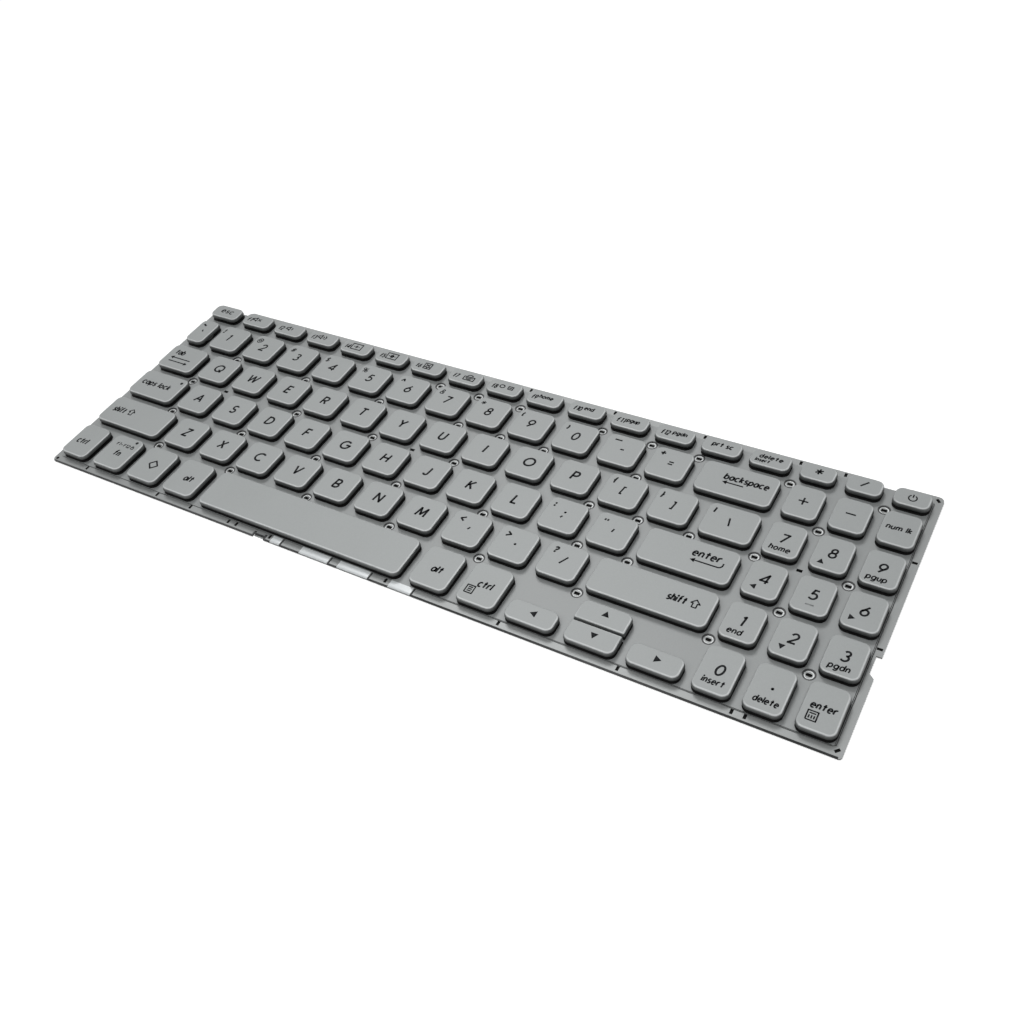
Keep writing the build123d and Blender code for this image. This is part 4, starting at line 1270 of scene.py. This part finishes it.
def tail_sheet(left, right):
    """Folded tail: a bulged strip carried from the membrane's edge over the bend and down. The strip's
    rise is the square of a half sine wave along it times the root of one across it."""
    lip = box_mm("base_plate")[0][1]
    flat = np.linspace(lip + TAIL_START, lip + TAIL_BEND, TAIL_ROWS)
    bend = arc(lip + TAIL_BEND, MEMBRANE_Z - TAIL_BEND, TAIL_BEND, TAIL_BEND, 90, 180)
    path = joined(np.stack((flat, np.full(TAIL_ROWS, MEMBRANE_Z)), -1), bend, line((lip, TAIL_END_Z)))
    across = np.linspace(0, 1, TAIL_COLUMNS)
    along = np.linspace(0, 1, len(path))
    bulge = np.outer(np.sin(np.pi * along) ** 2, np.sin(np.pi * across) ** 0.5)
    rise = TAIL_LIFT + TAIL_BULGE * bulge
    sideways = -across_path(path)
    y = path[:, :1] + sideways[:, :1] * rise
    z = path[:, 1:] + sideways[:, 1:] * rise
    x = np.broadcast_to(left + TAIL_SIDE_GAP + (right - left - 2 * TAIL_SIDE_GAP) * across, y.shape)
    points = np.stack((x, np.maximum(y, lip), z), -1).reshape(-1, 3)
    row = np.arange(len(path) - 1)[:, None] * TAIL_COLUMNS
    column = np.arange(TAIL_COLUMNS - 1)[None, :]
    below = row + TAIL_COLUMNS + column
    quads = np.stack((row + column, below, below + 1, row + column + 1), -1).reshape(-1, 4)
    return plain_sheet(points, quads, np.zeros((0, 3), int))


# The clearances' lips are black as painted shadow at the membrane's cut edge
add_piece("clearance_rims", [rim_sheet(place) for place in stake_places()], EDGE_SHADOW)
# Painted highlights on the plate inside the clearances
add_piece("painted_plate_highlights", [highlight_ring_sheet(place) for place in stake_places()], PLATE_HIGHLIGHT)
# Painted shadows of the membrane's edges and beside the tails
add_piece("membrane_edge_shadows", edge_shadow_sheets(), EDGE_SHADOW)
# Painted shade in the plate's slots and holes
add_piece("painted_slot_shadows", slot_shade_sheets(), SHADE_BLACK)
# Painted shadow of the plate's front edge
add_piece("front_edge_shadows", front_edge_shadow_sheets(), EDGE_SHADOW)
add_piece("notch_tongue", [notch_tongue()], PLATE)
# Painted shade under every cap, as a black leaf on the membrane
under_cap_shades = [under_cap_shade_sheet(name, box) for name, box in every_key.items()]
add_piece("painted_shade_under_caps", under_cap_shades, SHADE_BLACK)
add_piece("tail_films", [tail_sheet(*edges) for edges in tail_edges()], TAIL_FILM)

for node, material in (("base_plate", PLATE), ("membrane", FILM)):
    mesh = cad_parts[node].data
    mesh.materials.clear()
    mesh.materials.append(material)


# Floor, light and camera: lengths in metres, turns in degrees

WHITE = (1, 1, 1, 1)
FLOOR_HALF = 4.0
FLOOR_Z = -0.0001
FLOOR_COLOUR = (0.9, 0.9, 0.9, 1)
FLOOR_ROUGHNESS = 0.9
GLOW_MIDDLE = 0.4
GLOW_GROWTH = 0.6
GLOW_MOST = 0.68
SKY_STRENGTH = 0.05
SUN_STRENGTH = 1.2
SUN_TURN = 35
SUN_TILT = -38
# The sun's width is in radians
SUN_WIDTH = 0.3
PANEL_POWER = 1.35
PANEL_SIZE = 0.5
PANEL_PLACE = (0.03, -0.15, 0.4)
CAMERA_PLACE = (0.190475, -0.221684, 0.279768)
CAMERA_TURNS = (43.4163, 7.3305, 29.5143)
CAMERA_NEAR = 0.01
# The lens and the sensor are in millimetres
CAMERA_LENS = 38.044
CAMERA_SENSOR = 36


def seen_rays(tree):
    """One for rays from the camera, from reflections and through clear pieces, otherwise zero."""
    rays = tree.nodes.new("ShaderNodeLightPath")
    seen = math_node(tree, "MAXIMUM", rays.outputs["Is Camera Ray"], rays.outputs["Is Glossy Ray"])
    return math_node(tree, "MAXIMUM", seen, rays.outputs["Is Transmission Ray"])


def floor_material():
    """Pale floor that takes the shadow and shows white to the camera and in reflections: its own glow
    grows with the distance from the middle, because less of the panel's light falls there."""
    material = bpy.data.materials.new("floor")
    material.use_nodes = True
    tree = material.node_tree
    shader = tree.nodes["Principled BSDF"]
    shader.inputs["Base Color"].default_value = FLOOR_COLOUR
    shader.inputs["Roughness"].default_value = FLOOR_ROUGHNESS
    shader.inputs["Specular IOR Level"].default_value = 0.0
    shader.inputs["Emission Color"].default_value = WHITE
    place = tree.nodes.new("ShaderNodeTexCoord")
    distance = tree.nodes.new("ShaderNodeVectorMath")
    distance.operation = "LENGTH"
    tree.links.new(place.outputs["Object"], distance.inputs[0])
    growth = math_node(tree, "MULTIPLY", distance.outputs["Value"], GLOW_GROWTH)
    glow = math_node(tree, "MINIMUM", math_node(tree, "ADD", growth, GLOW_MIDDLE), GLOW_MOST)
    glow = math_node(tree, "MULTIPLY", glow, seen_rays(tree))
    tree.links.new(glow, shader.inputs["Emission Strength"])
    return material


def build_stage():
    """White floor, even sky, one soft lamp from the back left and a panel above the front edge."""
    mesh = bpy.data.meshes.new("floor")
    corners = [(-1, -1), (1, -1), (1, 1), (-1, 1)]
    points = [(x * FLOOR_HALF, y * FLOOR_HALF, FLOOR_Z) for x, y in corners]
    mesh.from_pydata(points, [], [(0, 1, 2, 3)])
    mesh.materials.append(floor_material())
    floor = bpy.data.objects.new("floor", mesh)
    bpy.context.scene.collection.objects.link(floor)
    world = bpy.data.worlds.new("sky")
    world.use_nodes = True
    sky = world.node_tree.nodes["Background"]
    sky.inputs["Color"].default_value = WHITE
    strength = math_node(world.node_tree, "MAXIMUM", seen_rays(world.node_tree), SKY_STRENGTH)
    world.node_tree.links.new(strength, sky.inputs["Strength"])
    bpy.context.scene.world = world
    lamp = bpy.data.lights.new("key_light", "SUN")
    lamp.energy = SUN_STRENGTH
    lamp.angle = SUN_WIDTH
    sun = bpy.data.objects.new("key_light", lamp)
    turn = Matrix.Rotation(np.radians(SUN_TURN), 4, "Z")
    sun.matrix_world = turn @ Matrix.Rotation(np.radians(SUN_TILT), 4, "X")
    bpy.context.scene.collection.objects.link(sun)
    panel = bpy.data.lights.new("fill_light", "AREA")
    panel.energy = PANEL_POWER
    panel.size = PANEL_SIZE
    fill = bpy.data.objects.new("fill_light", panel)
    fill.location = PANEL_PLACE
    bpy.context.scene.collection.objects.link(fill)


def build_camera():
    """Camera at the photograph's viewing angle, from the lines of the key rows."""
    lens = bpy.data.cameras.new("camera")
    lens.lens = CAMERA_LENS
    lens.sensor_width = CAMERA_SENSOR
    lens.clip_start = CAMERA_NEAR
    camera = bpy.data.objects.new("camera", lens)
    turn = Euler(np.radians(CAMERA_TURNS)).to_matrix().to_4x4()
    camera.matrix_world = Matrix.Translation(CAMERA_PLACE) @ turn
    bpy.context.scene.collection.objects.link(camera)
    bpy.context.scene.camera = camera


build_stage()
build_camera()
bpy.context.scene.view_settings.view_transform = "Standard"
